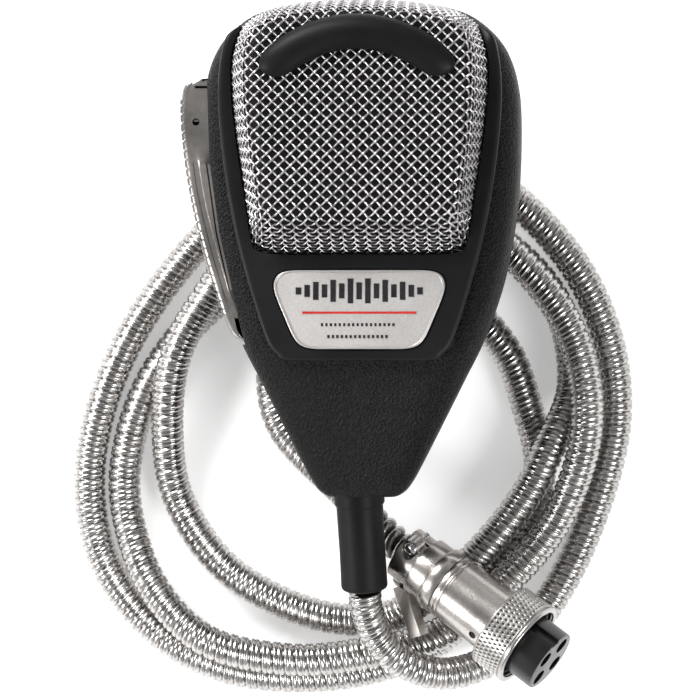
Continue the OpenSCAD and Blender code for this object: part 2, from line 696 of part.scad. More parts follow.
front_housing();
rear_housing();
front_bezel();
grille_mesh();
lip_guard();
badge_plate();
windscreen_foam();
baffle_plate();
mic_cartridge();
cartridge_boot();
ptt_bar();
ptt_pivot_pin();
ptt_return_spring();
ptt_switch();
switch_plunger();
circuit_board();
board_screws();
lead_wires();
hang_button();
hang_button_screw();
hang_button_nut();
housing_screws();
strain_relief();
inner_cord_clamp();
inner_clamp_screws();
armoured_cord();
connector_barrel();
connector_sleeve();
coupling_ring();
connector_insert();
connector_contacts();
cord_saddle();
saddle_screws();
set_screw();
anchor_hook();
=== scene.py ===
"""Looks of the hand microphone: its detailed pieces, materials, light and camera.

Lengths below are in mm, in the part's own frame.
"""
import json
import math

import bmesh
import bpy
import numpy as np
from mathutils import Matrix, Vector

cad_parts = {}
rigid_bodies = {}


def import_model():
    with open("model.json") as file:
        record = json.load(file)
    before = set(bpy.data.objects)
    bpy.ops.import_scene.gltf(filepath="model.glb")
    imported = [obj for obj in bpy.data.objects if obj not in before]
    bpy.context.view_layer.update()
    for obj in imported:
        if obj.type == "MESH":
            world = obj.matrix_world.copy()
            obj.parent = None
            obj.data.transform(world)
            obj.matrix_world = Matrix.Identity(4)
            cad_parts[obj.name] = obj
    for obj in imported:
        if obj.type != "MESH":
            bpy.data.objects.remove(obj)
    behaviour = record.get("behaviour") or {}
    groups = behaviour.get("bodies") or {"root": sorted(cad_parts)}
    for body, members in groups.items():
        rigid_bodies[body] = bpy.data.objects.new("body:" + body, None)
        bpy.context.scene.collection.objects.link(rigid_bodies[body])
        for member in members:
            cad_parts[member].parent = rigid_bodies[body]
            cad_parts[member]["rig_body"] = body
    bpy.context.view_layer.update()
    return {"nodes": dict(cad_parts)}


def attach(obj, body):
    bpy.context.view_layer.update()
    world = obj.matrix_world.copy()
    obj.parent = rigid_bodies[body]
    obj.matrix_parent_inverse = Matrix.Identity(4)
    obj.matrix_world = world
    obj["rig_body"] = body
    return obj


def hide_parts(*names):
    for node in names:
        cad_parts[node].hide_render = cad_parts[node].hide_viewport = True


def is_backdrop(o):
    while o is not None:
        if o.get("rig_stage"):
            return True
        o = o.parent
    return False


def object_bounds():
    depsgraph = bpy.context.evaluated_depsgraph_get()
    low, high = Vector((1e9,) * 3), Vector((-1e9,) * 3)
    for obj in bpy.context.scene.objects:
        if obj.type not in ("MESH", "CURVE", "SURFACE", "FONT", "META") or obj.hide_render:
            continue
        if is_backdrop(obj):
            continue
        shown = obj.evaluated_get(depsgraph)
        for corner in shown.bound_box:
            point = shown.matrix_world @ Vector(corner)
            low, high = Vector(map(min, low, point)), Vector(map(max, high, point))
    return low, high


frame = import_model()
MM = 0.001

# ---- curves


def smooth(points, count=None, per=None):
    """Points on the smooth curve through the given points: count in all, or per for each gap."""
    p = np.array(points, float)
    q = np.vstack([2 * p[0] - p[1], p, 2 * p[-1] - p[-2]])
    n = len(p) - 1
    t = np.linspace(0, n, count if count else n * per + 1)
    i = np.minimum(np.floor(t).astype(int), n - 1)
    f = (t - i)[:, None]
    a, b, c, d = q[i], q[i + 1], q[i + 2], q[i + 3]
    return 0.5 * (2 * b + (c - a) * f + (2 * a - 5 * b + 4 * c - d) * f ** 2
                  + (3 * b - a - 3 * c + d) * f ** 3)


def even(points, step, closed=False):
    """The same line with evenly spaced points."""
    p = np.array(points, float)
    if closed:
        p = np.vstack([p, p[:1]])
    s = np.concatenate([[0], np.cumsum(np.linalg.norm(np.diff(p, axis=0), axis=1))])
    n = max(2, int(round(s[-1] / step)) + 1)
    u = np.linspace(0, s[-1], n, endpoint=not closed)
    return np.stack([np.interp(u, s, p[:, k]) for k in range(p.shape[1])], axis=1)


def both_sides(half):
    """The closed outline of a half that runs up one side, from X = 0 to X = 0."""
    h = np.array(half, float)
    return np.vstack([h, h[-2:0:-1] * [-1, 1]])


def grow(outline, d, mid):
    """The outline moved outwards from mid by d."""
    v = outline - mid
    r = np.linalg.norm(v, axis=1, keepdims=True)
    return mid + v * (r + d) / r


def at_z(outline, z):
    return np.column_stack([outline, np.full(len(outline), z)])


def polar(outline, mid, angles):
    """Radius of an outline round mid at the given angles."""
    v = outline - mid
    a = np.unwrap(np.arctan2(v[:, 1], v[:, 0]))
    r = np.hypot(v[:, 0], v[:, 1])
    if a[-1] < a[0]:
        a, r = a[::-1], r[::-1]
    a0 = a[0]
    a = np.concatenate([a - 2 * math.pi, a, a + 2 * math.pi])
    r = np.concatenate([r, r, r])
    w = (np.asarray(angles) - a0) % (2 * math.pi) + a0
    return np.interp(w, a, r)


# ---- meshes


def add(name, data):
    ob = bpy.data.objects.new(name, data)
    bpy.context.scene.collection.objects.link(ob)
    return ob


def new_object(name, verts, faces, material, body="housing", shade=True):
    mesh = bpy.data.meshes.new(name)
    mesh.from_pydata((np.asarray(verts, float) * MM).tolist(), [], faces)
    mesh.validate()
    ob = add(name, mesh)
    if material:
        mesh.materials.append(material)
    if shade:
        mesh.polygons.foreach_set("use_smooth", np.ones(len(mesh.polygons), bool))
    if body:
        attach(ob, body)
    return ob


def sharp(ob, angle=35):
    """Smooth shading that keeps the edges sharper than the angle."""
    bm = bmesh.new()
    bm.from_mesh(ob.data)
    bmesh.ops.recalc_face_normals(bm, faces=bm.faces)
    limit = math.radians(angle)
    for e in bm.edges:
        e.smooth = not (e.is_manifold and e.calc_face_angle(0) > limit)
    bm.to_mesh(ob.data)
    bm.free()
    return ob


def mark_grooves(ob, values):
    """How much painted shade each point gets, from 0 to 1, mostly by how far it lies in a groove.
    """
    data = ob.data.attributes.new("groove", "FLOAT", "POINT")
    data.data.foreach_set("value", np.asarray(values).reshape(-1).astype(np.float32))


def grid_faces(rows, cols, offset=0):
    """Quads between closed rows of cols points each."""
    i, j = np.meshgrid(np.arange(rows - 1), np.arange(cols), indexing="ij")
    k = (j + 1) % cols
    q = np.stack([i * cols + j, i * cols + k, (i + 1) * cols + k, (i + 1) * cols + j], axis=-1)
    return (q.reshape(-1, 4) + offset).tolist()


def cap_faces(rows, cols, offset=0):
    """The first and the last row as faces."""
    last = offset + (rows - 1) * cols
    return [[offset + i for i in range(cols)][::-1], [last + i for i in range(cols)]]


def loft(name, rings, material, body="housing", caps=True, edge=35):
    """A skin over rings that all have the same number of points."""
    rings = [np.asarray(r, float) for r in rings]
    n = len(rings[0])
    faces = grid_faces(len(rings), n)
    if caps:
        faces += cap_faces(len(rings), n)
    return sharp(new_object(name, np.vstack(rings), faces, material, body), edge)


def join(name, obs):
    """One object of several."""
    bm = bmesh.new()
    mats = []
    for ob in obs:
        for m in ob.data.materials:
            if m not in mats:
                mats.append(m)
    for ob in obs:
        start = len(bm.faces)
        bm.from_mesh(ob.data)
        bm.faces.ensure_lookup_table()
        index = [mats.index(m) for m in ob.data.materials] or [0]
        for f in bm.faces[start:]:
            f.material_index = index[min(f.material_index, len(index) - 1)]
    mesh = bpy.data.meshes.new(name)
    bm.to_mesh(mesh)
    bm.free()
    body = obs[0].get("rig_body", "housing")
    for ob in obs:
        bpy.data.objects.remove(ob, do_unlink=True)
    for m in mats:
        mesh.materials.append(m)
    joined = add(name, mesh)
    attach(joined, body)
    return joined


def bake_modifiers(ob):
    """Makes the modifiers' result the mesh itself."""
    shown = ob.evaluated_get(bpy.context.evaluated_depsgraph_get())
    mesh = bpy.data.meshes.new_from_object(shown)
    ob.modifiers.clear()
    old = ob.data
    ob.data = mesh
    bpy.data.meshes.remove(old)


def carve(ob, cutters, edge=35, operation="DIFFERENCE"):
    """Cuts the cutters out of ob for good, and removes them."""
    for c in cutters:
        m = ob.modifiers.new("cut", "BOOLEAN")
        m.operation = operation
        m.solver = "EXACT"
        m.object = c
    bake_modifiers(ob)
    for c in cutters:
        bpy.data.objects.remove(c, do_unlink=True)
    return sharp(ob, edge)


def rounded(ob, width):
    """Bevels the sharp edges of ob by width mm, for good."""
    m = ob.modifiers.new("round", "BEVEL")
    m.width = width * MM
    m.segments = 3
    m.limit_method = "ANGLE"
    m.angle_limit = math.radians(35)
    bake_modifiers(ob)
    return sharp(ob, 50)


def prism(name, outline, z0, z1, material=None, body=None):
    """The outline pushed up from z0 to z1."""
    n = len(outline)
    verts = np.vstack([at_z(outline, z0), at_z(outline, z1)])
    faces = grid_faces(2, n) + cap_faces(2, n)
    ob = new_object(name, verts, faces, material, body, shade=False)
    return sharp(ob, 35)


def block(name, low, high, material=None, body=None):
    """A box between two corners."""
    (x0, y0, z0), (x1, y1, z1) = low, high
    return prism(name, np.array([[x0, y0], [x1, y0], [x1, y1], [x0, y1]], float), z0, z1,
                 material, body)


def lathe(name, profile, material, body="housing", around=96, place=None, edge=35):
    """Revolves (radius, height) points round Z, then moves the result by place."""
    p = np.array(profile, float)
    a = np.linspace(0, 2 * math.pi, around, endpoint=False)
    verts, faces, rows = [], [], []
    for r, z in p:
        if r < 1e-6:
            rows.append([len(verts)])
            verts.append((0, 0, z))
        else:
            rows.append(list(range(len(verts), len(verts) + around)))
            verts += [(r * math.cos(t), r * math.sin(t), z) for t in a]
    for lo, hi in zip(rows, rows[1:]):
        for j in range(around):
            k = (j + 1) % around
            corners = (lo[j % len(lo)], lo[k % len(lo)], hi[k % len(hi)], hi[j % len(hi)])
            corners = tuple(dict.fromkeys(corners))  # a point on the axis counts once
            if len(corners) > 2:
                faces.append(corners)
    ob = new_object(name, verts, faces, material, body)
    if place is not None:
        moved(ob, place)
    return sharp(ob, edge)


def shift(x, y, z):
    return Matrix.Translation((x, y, z))


def turn(degrees, axis):
    return Matrix.Rotation(math.radians(degrees), 4, axis)


def moved(ob, matrix):
    """Moves the mesh by a matrix whose shift is in mm."""
    m = matrix.copy()
    m.translation *= MM
    ob.data.transform(m)
    return ob


def arc(cx, cz, r, a0, a1, n=5):
    """Points on an arc, for profiles; angles in degrees."""
    return [(cx + r * math.cos(math.radians(a)), cz + r * math.sin(math.radians(a)))
            for a in np.linspace(a0, a1, n)]


FIRST_SIDE = (0.3, 0.1, 0.95)


def frames(path):
    """Directions along, beside and above a path, turning as little as they can."""
    p = np.asarray(path, float)
    way = np.gradient(p, axis=0)
    way /= np.linalg.norm(way, axis=1, keepdims=True)
    side = np.empty_like(p)
    s = np.array(FIRST_SIDE, float)
    for i, w in enumerate(way):
        s = s - w * (s @ w)
        s /= np.linalg.norm(s)
        side[i] = s
    return way, side, np.cross(way, side)


# ---- materials


def clamp_colour(c, k):
    """A colour times k, kept within 0 and 1."""
    return [min(1.0, max(0.0, v * k)) for v in c[:3]] + [1]


def put(node, values):
    """Sets a node's inputs by name."""
    for key, value in values.items():
        node.inputs[key].default_value = value


def put_range(node, values):
    """Limits of a range node: from low and high, to low and high."""
    put(node, dict(zip(("From Min", "From Max", "To Min", "To Max"), values)))


def surface(name, base, rough, metal=0.0, spread=0.12, rough_spread=0.05, scale=90.0, grain=None,
            grain_size=1500.0, grain_depth=0.08, cell=False, coat=0.0, painted_shade=None, specular=0.5,
            speckle=None):
    """A node material: colour and roughness drift softly over the surface, with a fine bump."""
    m = bpy.data.materials.new(name)
    m.use_nodes = True
    n, link = m.node_tree.nodes, m.node_tree.links.new
    shader = n["Principled BSDF"]
    put(shader, {"Metallic": metal, "Coat Weight": coat, "Coat Roughness": 0.08,
                 "Specular IOR Level": specular})
    place = n.new("ShaderNodeTexCoord")
    drift = n.new("ShaderNodeTexNoise")
    put(drift, {"Scale": scale, "Detail": 5})
    link(place.outputs["Object"], drift.inputs["Vector"])
    tint = n.new("ShaderNodeValToRGB")
    for stop, at, k in zip(tint.color_ramp.elements, (0.3, 0.7), (1 - spread, 1 + spread)):
        stop.position = at
        stop.color = clamp_colour(base, k)
    link(drift.outputs["Fac"], tint.inputs["Fac"])
    colour = tint.outputs["Color"]
    dull = n.new("ShaderNodeMapRange")
    put_range(dull, (0.25, 0.75, max(0.02, rough - rough_spread), min(1.0, rough + rough_spread)))
    link(drift.outputs["Fac"], dull.inputs["Value"])
    link(dull.outputs[0], shader.inputs["Roughness"])
    if grain:
        if cell:
            fine = n.new("ShaderNodeTexVoronoi")
            put(fine, {"Scale": grain_size})
            height = fine.outputs["Distance"]
        else:
            fine = n.new("ShaderNodeTexNoise")
            put(fine, {"Scale": grain_size, "Detail": 3})
            height = fine.outputs["Fac"]
        link(place.outputs["Object"], fine.inputs["Vector"])
        bump = n.new("ShaderNodeBump")
        put(bump, {"Strength": grain, "Distance": grain_depth * MM})
        link(height, bump.inputs["Height"])
        link(bump.outputs[0], shader.inputs["Normal"])
        shade = n.new("ShaderNodeMixRGB")
        shade.blend_type = "MULTIPLY"
        put(shade, {"Fac": 1.0 if speckle else 0.35})
        link(colour, shade.inputs["Color1"])
        if speckle:
            spots = n.new("ShaderNodeMapRange")
            put_range(spots, speckle)
            link(height, spots.inputs["Value"])
            height = spots.outputs[0]
        link(height, shade.inputs["Color2"])
        colour = shade.outputs[0]
    # painted shade: the colour turns towards the given dark colour where the 'groove' attribute is
    # high
    if painted_shade:
        shade_amount = n.new("ShaderNodeAttribute")
        shade_amount.attribute_name = "groove"
        dark = n.new("ShaderNodeMixRGB")
        put(dark, {"Color2": [*painted_shade, 1]})
        link(shade_amount.outputs["Fac"], dark.inputs["Fac"])
        link(colour, dark.inputs["Color1"])
        colour = dark.outputs[0]
    link(colour, shader.inputs["Base Color"])
    return m


M = {
    "shell": surface("shell_grained", (0.0058, 0.0058, 0.0057), 0.46, spread=0.2, grain=1.0,
                     grain_size=2100, grain_depth=0.34, cell=True, specular=0.13,
                     speckle=(0.1, 0.6, 0.0, 1.4)),
    "bezel": surface("bezel_satin", (0.009, 0.009, 0.0092), 0.42, spread=0.15, grain=0.15,
                     grain_size=3000, grain_depth=0.02, specular=0.17),
    "guard": surface("guard_satin", (0.007, 0.007, 0.0072), 0.46, spread=0.15, grain=0.12,
                     grain_size=3000, grain_depth=0.02, specular=0.14),
    "wire": surface("bright_wire", (0.50, 0.485, 0.49), 0.33, metal=1.0, spread=0.10,
                    rough_spread=0.06, scale=260),
    "foam": surface("open_foam", (0.012, 0.011, 0.012), 0.9, spread=0.3, grain=1.0,
                    grain_size=1600, grain_depth=0.3, cell=True, specular=0.2),
    # the last colour of the cord is painted shade for the valleys between its turns
    "cord": surface("armour_steel", (0.60, 0.58, 0.565), 0.25, metal=1.0, spread=0.14,
                    rough_spread=0.08, scale=420, grain=0.35, grain_size=900, grain_depth=0.06,
                    painted_shade=(0.045, 0.042, 0.04)),
    "nickel": surface("bright_nickel", (0.60, 0.565, 0.535), 0.27, metal=1.0, spread=0.08,
                      rough_spread=0.06, scale=120, grain=0.25, grain_size=1900, grain_depth=0.03),
    # the last colour of the knurl is painted shade for its cuts
    "knurl": surface("knurled_nickel", (0.43, 0.415, 0.40), 0.3, metal=1.0, spread=0.08,
                     rough_spread=0.05, scale=300, painted_shade=(0.04, 0.037, 0.035)),
    "thread": surface("dark_thread", (0.035, 0.034, 0.034), 0.35, metal=0.6, spread=0.2, scale=400),
    "nickel_dull": surface("dull_nickel", (0.62, 0.585, 0.555), 0.3, metal=1.0, spread=0.08,
                           scale=200, grain=0.12, grain_size=1400, grain_depth=0.02),
    # the last colour of the bar is painted shade for its outer wall and rib grooves
    "bar": surface("satin_chrome", (0.68, 0.645, 0.615), 0.29, metal=1.0, spread=0.12,
                   rough_spread=0.08, scale=75, grain=0.08, grain_size=700, grain_depth=0.03,
                   painted_shade=(0.05, 0.047, 0.045)),
    # painted shade for small recesses in bright parts
    "shaded_pit": surface("painted_recess_shade", (0.012, 0.012, 0.012), 0.7, spread=0.2, specular=0.1),
    "steel": surface("plain_steel", (0.62, 0.62, 0.63), 0.28, metal=1.0, spread=0.08, scale=200,
                     grain=0.1, grain_size=1500, grain_depth=0.02),
    "dark_steel": surface("black_oxide_steel", (0.06, 0.06, 0.065), 0.38, metal=0.9, spread=0.2,
                          scale=300, grain=0.15, grain_size=1500, grain_depth=0.02),
    "rubber": surface("boot_rubber", (0.0085, 0.0085, 0.0087), 0.5, spread=0.2, grain=0.25,
                      grain_size=2200, grain_depth=0.03, specular=0.12),
    "insert": surface("black_insert", (0.010, 0.010, 0.0105), 0.27, spread=0.2, rough_spread=0.05,
                      grain=0.05, grain_size=1200, grain_depth=0.02),
    "face": surface("insert_face", (0.085, 0.082, 0.082), 0.35, spread=0.12, scale=400,
                    grain=0.12, grain_size=1800, grain_depth=0.02),
    "brass": surface("contact_brass", (0.62, 0.46, 0.20), 0.3, metal=1.0, spread=0.12, scale=500),
    "badge": surface("pearl_silver", (0.655, 0.625, 0.605), 0.34, metal=0.4, spread=0.10, scale=60,
                     rough_spread=0.05, coat=0.3, grain=0.1, grain_size=2500, grain_depth=0.01),
    "badge_rim": surface("badge_rim", (0.46, 0.44, 0.43), 0.36, metal=0.5, spread=0.08, scale=150),
    "ink": surface("badge_ink", (0.02, 0.02, 0.022), 0.35, spread=0.2, scale=300, coat=0.05,
                   specular=0.08),
    "red": surface("badge_red", (0.42, 0.03, 0.025), 0.35, spread=0.12, scale=300, coat=0.05,
                   specular=0.08),
    "inner": surface("inner_plastic", (0.05, 0.05, 0.052), 0.5, spread=0.15, grain=0.2),
    "zinc": surface("die_cast_zinc", (0.5, 0.5, 0.52), 0.4, metal=1.0, spread=0.1, grain=0.2),
    "board": surface("coated_board", (0.02, 0.10, 0.04), 0.35, spread=0.2, grain=0.1, coat=0.4),
    "plunger": surface("red_plunger", (0.35, 0.04, 0.03), 0.35, spread=0.1, grain=0.1),
    "wires": surface("wire_covers", (0.16, 0.05, 0.05), 0.45, spread=0.25, grain=0.1),
    "floor": surface("pale_floor", (0.93, 0.93, 0.93), 0.75, spread=0.01, scale=4,
                     rough_spread=0.02, specular=0.2),
}

# ---- camera

CAMERA_AT = (52.1, -20.5, 911.3)
LOOK_AT = (-2.8, -20.5, 13.0)


def add_camera():
    cam = bpy.data.cameras.new("camera")
    cam.lens = 225.8
    cam.sensor_width = 36
    cam.clip_start = 0.05
    cam.clip_end = 20
    ob = add("camera", cam)
    at, to = Vector(CAMERA_AT) * MM, Vector(LOOK_AT) * MM
    back = (at - to).normalized()
    right = Vector((0, 1, 0)).cross(back).normalized()
    up = back.cross(right)
    m = Matrix((right, up, back)).transposed().to_4x4()
    m.translation = at
    ob.matrix_world = m
    bpy.context.scene.camera = ob


add_camera()

# ---- cord

CORD_ROUTE = [
    (-0.2, -70.4, 5.4), (0.1, -74, 4.2), (2, -79.5, 1.2), (7, -85.2, -1.8), (16, -88.2, -5.8),
    (27, -84.5, -10.5), (38, -73, -15.5), (46.5, -55.5, -16), (51.5, -35.5, -16),
    (49.5, -17, -16), (41, 0, -16), (25, 15, -16), (5, 22.5, -16),
    (-15.5, 20, -16), (-34, 5, -16), (-48.5, -13, -16), (-57, -31, -16),
    (-60, -49, -16), (-56.5, -66, -16), (-45.5, -80, -16), (-30, -88, -16),
    (-11, -89.5, -16), (6, -86, -16), (17.5, -79, -16), (27, -66.5, -16),
    (34, -54, -16), (35.5, -44, -16), (33, -33, -16), (28, -20, -16),
    (16, -8, -16), (-1, -1.5, -16), (-20, -2.5, -16), (-35, -12, -16),
    (-46, -25.5, -16), (-51.5, -40, -16), (-52, -54, -15), (-46, -70, -10.5),
    (-34.5, -81.5, -9), (-17, -85.5, -9), (0, -84, -9), (15.5, -79.5, -9),
    (29, -68.5, -8.9), (40, -54.5, -8.4), (45.5, -36, -5.6), (42.5, -17.5, -8.5),
    (31.5, -2, -8.8), (15, 10.5, -8.8), (-4, 15.5, -8.8), (-22, 6.5, -8.8),
    (-34, -9, -8.8), (-41, -22, -8.8), (-43, -37, -12.5), (-41, -52, -16),
    (-31, -66.5, -16), (-15, -75.5, -16), (0.5, -77.5, -16), (12, -72.5, -14.5),
    (23, -63, -9.5), (32, -52, -8.8), (37.2, -42.2, -9), (42.5, -28, -14),
    (39.5, -11.5, -16), (29, 1, -16), (15, 7.5, -16), (1, 8, -14.2),
    (-12.8, 2, -9.2), (-18.5, -9, -9.6), (-21, -23, -13.5), (-18.5, -37, -13),
    (-5.2, -50.4, -7), (1.5, -56.8, -3.6), (8, -62.5, -0.7), (13.1, -66.3, 1),
]
CORD_R = 3.5
CORD_STEP = 0.2
RIDGE = 2.4  # one turn of the strip
SLACK_LENGTH = 26  # the turns stand apart over this length at the connector


def armoured_cord():
    """Interlocked steel strip in a spiral. Its turns stand apart where the connector holds it."""
    line = even(smooth(CORD_ROUTE, per=14), step=CORD_STEP)
    _, side, up = frames(line)
    around = 26
    a = np.linspace(0, 2 * math.pi, around, endpoint=False)
    s = np.arange(len(line)) * CORD_STEP
    slack = np.clip((s - s[-1] + SLACK_LENGTH) / 7, 0, 1)[:, None]
    turns = np.cumsum(CORD_STEP / (RIDGE * (1 + 0.12 * slack[:, 0])))
    phase = (turns[:, None] - a[None] / (2 * math.pi)) % 1.0
    edge = np.abs(2 * phase - 1)
    middle = np.exp(-((phase - 0.52) / 0.07) ** 2) * (1 - slack)
    r = CORD_R - (0.62 + 0.44 * slack) * edge ** (4 - 1.2 * slack) - 0.15 * middle
    r -= 0.1 * (1 - slack) * (np.cos(4 * math.pi * phase) * 0.5 + 0.5)
    r += 0.16 * (1 - slack) * np.exp(-((phase - 0.93) / 0.035) ** 2)
    ring = side[:, None] * np.cos(a)[None, :, None] + up[:, None] * np.sin(a)[None, :, None]
    verts = (line[:, None] + ring * r[..., None]).reshape(-1, 3)
    faces = grid_faces(len(line), around) + cap_faces(len(line), around)
    ob = new_object("cord_armour", verts, faces, M["cord"])
    # painted shade: the valleys between the turns and the crease in each turn's middle are darkened
    # in the colour
    start = 0.78 - 0.26 * slack
    groove = np.clip((edge - start) / (1 - start), 0, 1) ** (1.2 - 0.6 * slack)
    lip = np.abs(phase - 0.93) < 0.045
    mark_grooves(ob, np.maximum(groove * (1 - 0.8 * (1 - slack) * lip), 0.55 * middle))
    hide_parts("armoured_cord")
    length = float(np.linalg.norm(np.diff(line, axis=0), axis=1).sum())
    return ob, line, length


cord, cord_line, cord_length = armoured_cord()

# ---- housing

PART_Z = 13
SEAM = 0.12  # each half stops this far from the parting face
BODY_STATIONS = [
    (50.2, 11, 9, 21), (49, 18, 5, 24), (46.5, 23.8, 2, 26.2), (41, 29.2, 0.5, 27),
    (33, 31.9, 0, 27.2), (22, 32.4, 0, 27.2), (8, 31.6, 0, 27.2), (-6, 29.1, 0, 27.1),
    (-18, 25, 0, 26.8), (-27, 20.6, 0, 25), (-38, 15.1, 0.5, 22.6), (-47, 10.4, 1.5, 20.8),
    (-50.5, 7.7, 3, 19.4),
]
GRILLE_MID = np.array([0, 24.5])
GRILLE_HALF = [
    (0, -1.3), (15, -1.3), (20.3, -0.6), (22, 1.5), (23.6, 12), (25.3, 24),
    (26.1, 34), (25.6, 40.6), (23.2, 45.2), (18, 48.1), (9.5, 49.7), (0, 50.1),
]
GRILLE_TOP_HALF = [
    (0, 6.5), (13, 6.5), (17.3, 7.1), (18.8, 9), (20, 16), (21.3, 25),
    (22, 34), (21.6, 39.5), (19.5, 44), (14.5, 46), (7.5, 46.8), (0, 47),
]
BEZEL_HALF = [
    (0, -22.6), (13.5, -22.6), (16.6, -21.4), (19.4, -17), (24.4, -0.3),
    (27.3, 15), (28.7, 30), (27.9, 40), (25.6, 45), (21, 47.4), (8, 48), (0, 48),
]
BADGE_HALF = [
    (0, -20.3), (5, -20.3), (9.3, -20.25), (11.7, -19.6), (13.3, -17.9), (15.1, -13.9),
    (16.8, -9.7), (17.25, -7.2), (16.3, -5.3), (13.8, -4.5), (8, -4.4), (0, -4.4),
]
BAR_EDGE = [
    (-31.4, 35.3), (-31.2, 32.5), (-30.6, 17.4), (-28.6, 3.3), (-26.2, -7.3),
    (-24.2, -16.6), (-23.5, -19.4),
]
BAR_OUTER = [
    (-31.4, 34.9), (-35, 34.3), (-36.8, 32.4), (-37, 26), (-36.2, 18),
    (-34.9, 10), (-32.5, 0), (-29.4, -10.3), (-27.2, -16.4), (-24.6, -18.9),
]
HINGE = (-28.5, 27)
BAR_TRAVEL = 3.5  # degrees
BEZEL_Z = 28.2
BODY_END = -50.5
END_ROUND = 1.4
BAR_ENDS = (-19.4, 35.3)
SCREW_SPOTS = [(-8.5, -35), (8.5, -35), (-15, -17), (15, -17)]

grille_outline = both_sides(smooth(GRILLE_HALF, count=90))
grille_top = both_sides(smooth(GRILLE_TOP_HALF, count=90))
bezel_outline = both_sides(smooth(BEZEL_HALF, count=90))
badge_outline = both_sides(smooth(BADGE_HALF, per=7))


def half_shell(name, z_from, z_index, power):
    """A half of the housing, from the parting face to its front or back, with a rounded end."""
    rows = smooth(BODY_STATIONS, count=110)
    turned = BODY_END + END_ROUND * (1 - np.sin(np.radians([0, 15, 30, 45, 60, 75, 90])))
    ends = [np.interp(-turned, -rows[:, 0], rows[:, k]) for k in (1, 2, 3)]
    ends = np.column_stack([turned, *ends])
    rows = np.vstack([rows[rows[:, 0] > turned[0]], ends])
    rings = []
    for y, w, back, front in rows:
        over = max(0.0, turned[0] - y)
        inset = END_ROUND - math.sqrt(max(0.0, END_ROUND ** 2 - over ** 2))
        w -= inset
        z_to = (back + inset, front - inset)[z_index]
        a = np.linspace(0, math.pi, 61)
        c, s = np.abs(np.cos(a)) ** (2 / power), np.abs(np.sin(a)) ** (2 / power)
        x = w * np.sign(np.cos(a)) * c
        rings.append(np.column_stack([x, np.full(61, y), z_from + (z_to - z_from) * s]))
    return loft(name, rings, M["shell"], edge=40)


def bar_slots():
    """Cutters for the talk bar's room at every angle, and for the step in front of it."""
    reach = math.sin(math.radians(BAR_TRAVEL))
    swept = [(x + 2.0 + max(0, HINGE[1] - y) * reach, y) for x, y in BAR_EDGE]
    outside = [(-60, end) for end in BAR_ENDS]
    deep = prism("slot_a", np.array(swept + outside, float), 4.9, 22)
    top = prism("slot_b", np.array(BAR_EDGE + outside, float), 21.4, 60)
    return deep, top


def housing():
    front = half_shell("front_shell", PART_Z + SEAM, 1, 6)
    opening = prism("opening", grow(grille_outline, 0.3, GRILLE_MID), 14.0, 60)
    carve(front, [*bar_slots(), opening], edge=40)
    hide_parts("front_housing")
    rear = half_shell("rear_shell", PART_Z - SEAM, 0, 3)
    deep, top = bar_slots()
    cutters = [deep]
    bpy.data.objects.remove(top, do_unlink=True)
    for x, y in SCREW_SPOTS:
        cutters.append(lathe("sink", [(0, -3), (2.8, -3), (2.8, 4.2), (0, 4.2)], None, None, 40,
                             shift(x, y, 0)))
    for k in range(-2, 3):
        y = 25 + 4.5 * k
        cutters.append(block("port", (-8, y - 0.8, -3), (8, y + 0.8, 4)))
    carve(rear, cutters, edge=40)
    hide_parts("rear_housing")


housing()

# ---- bezel, badge and guard


def bezel():
    """The frame round the grille. Its two upper ends taper into the housing."""
    mid = np.array([0, 14.0])
    angles = np.radians(np.linspace(-232, 52, 330))
    ro = polar(bezel_outline, mid, angles)
    inner = grow(grille_outline, 0.3, GRILLE_MID)
    ri = polar(inner, mid, angles)
    way = np.column_stack([np.cos(angles), np.sin(angles)])
    keep = (mid + way * ro[:, None])[:, 1] < 45.9
    way, ro, ri = way[keep], ro[keep], ri[keep]
    taper = np.clip(((mid + way * ro[:, None])[:, 1] - 42.2) / 3.7, 0, 1) ** 2
    rings = []
    for w, a, b, t in zip(way, ro, ri, taper):
        a = a + (b + 0.5 - a) * t
        k, top = 1 - 0.85 * t, BEZEL_Z - 2.2 * t
        section = [(a, 24.3), (a, top - 0.9 * k)]
        section += [(a - 0.9 * k + 0.9 * k * math.cos(u), top - 0.9 * k + 0.9 * k * math.sin(u))
                    for u in np.radians([20, 40, 60, 80])]
        section += [(a - 1.3 * k, top), (b + 0.2 * k, top), (b - 0.3 * k, top - 0.12 * k),
                    (b - 0.45 * k, top - 0.45 * k), (b, 25.4), (b, 24.3)]
        rings.append([(mid[0] + w[0] * r, mid[1] + w[1] * r, z) for r, z in section])
    ob = loft("bezel_frame", rings, M["bezel"], edge=30)
    recess = prism("recess", grow(badge_outline, 0.35, np.array([0, -12.0])), BEZEL_Z - 0.9, 60)
    carve(ob, [recess], edge=30)
    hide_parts("front_bezel")


bezel()


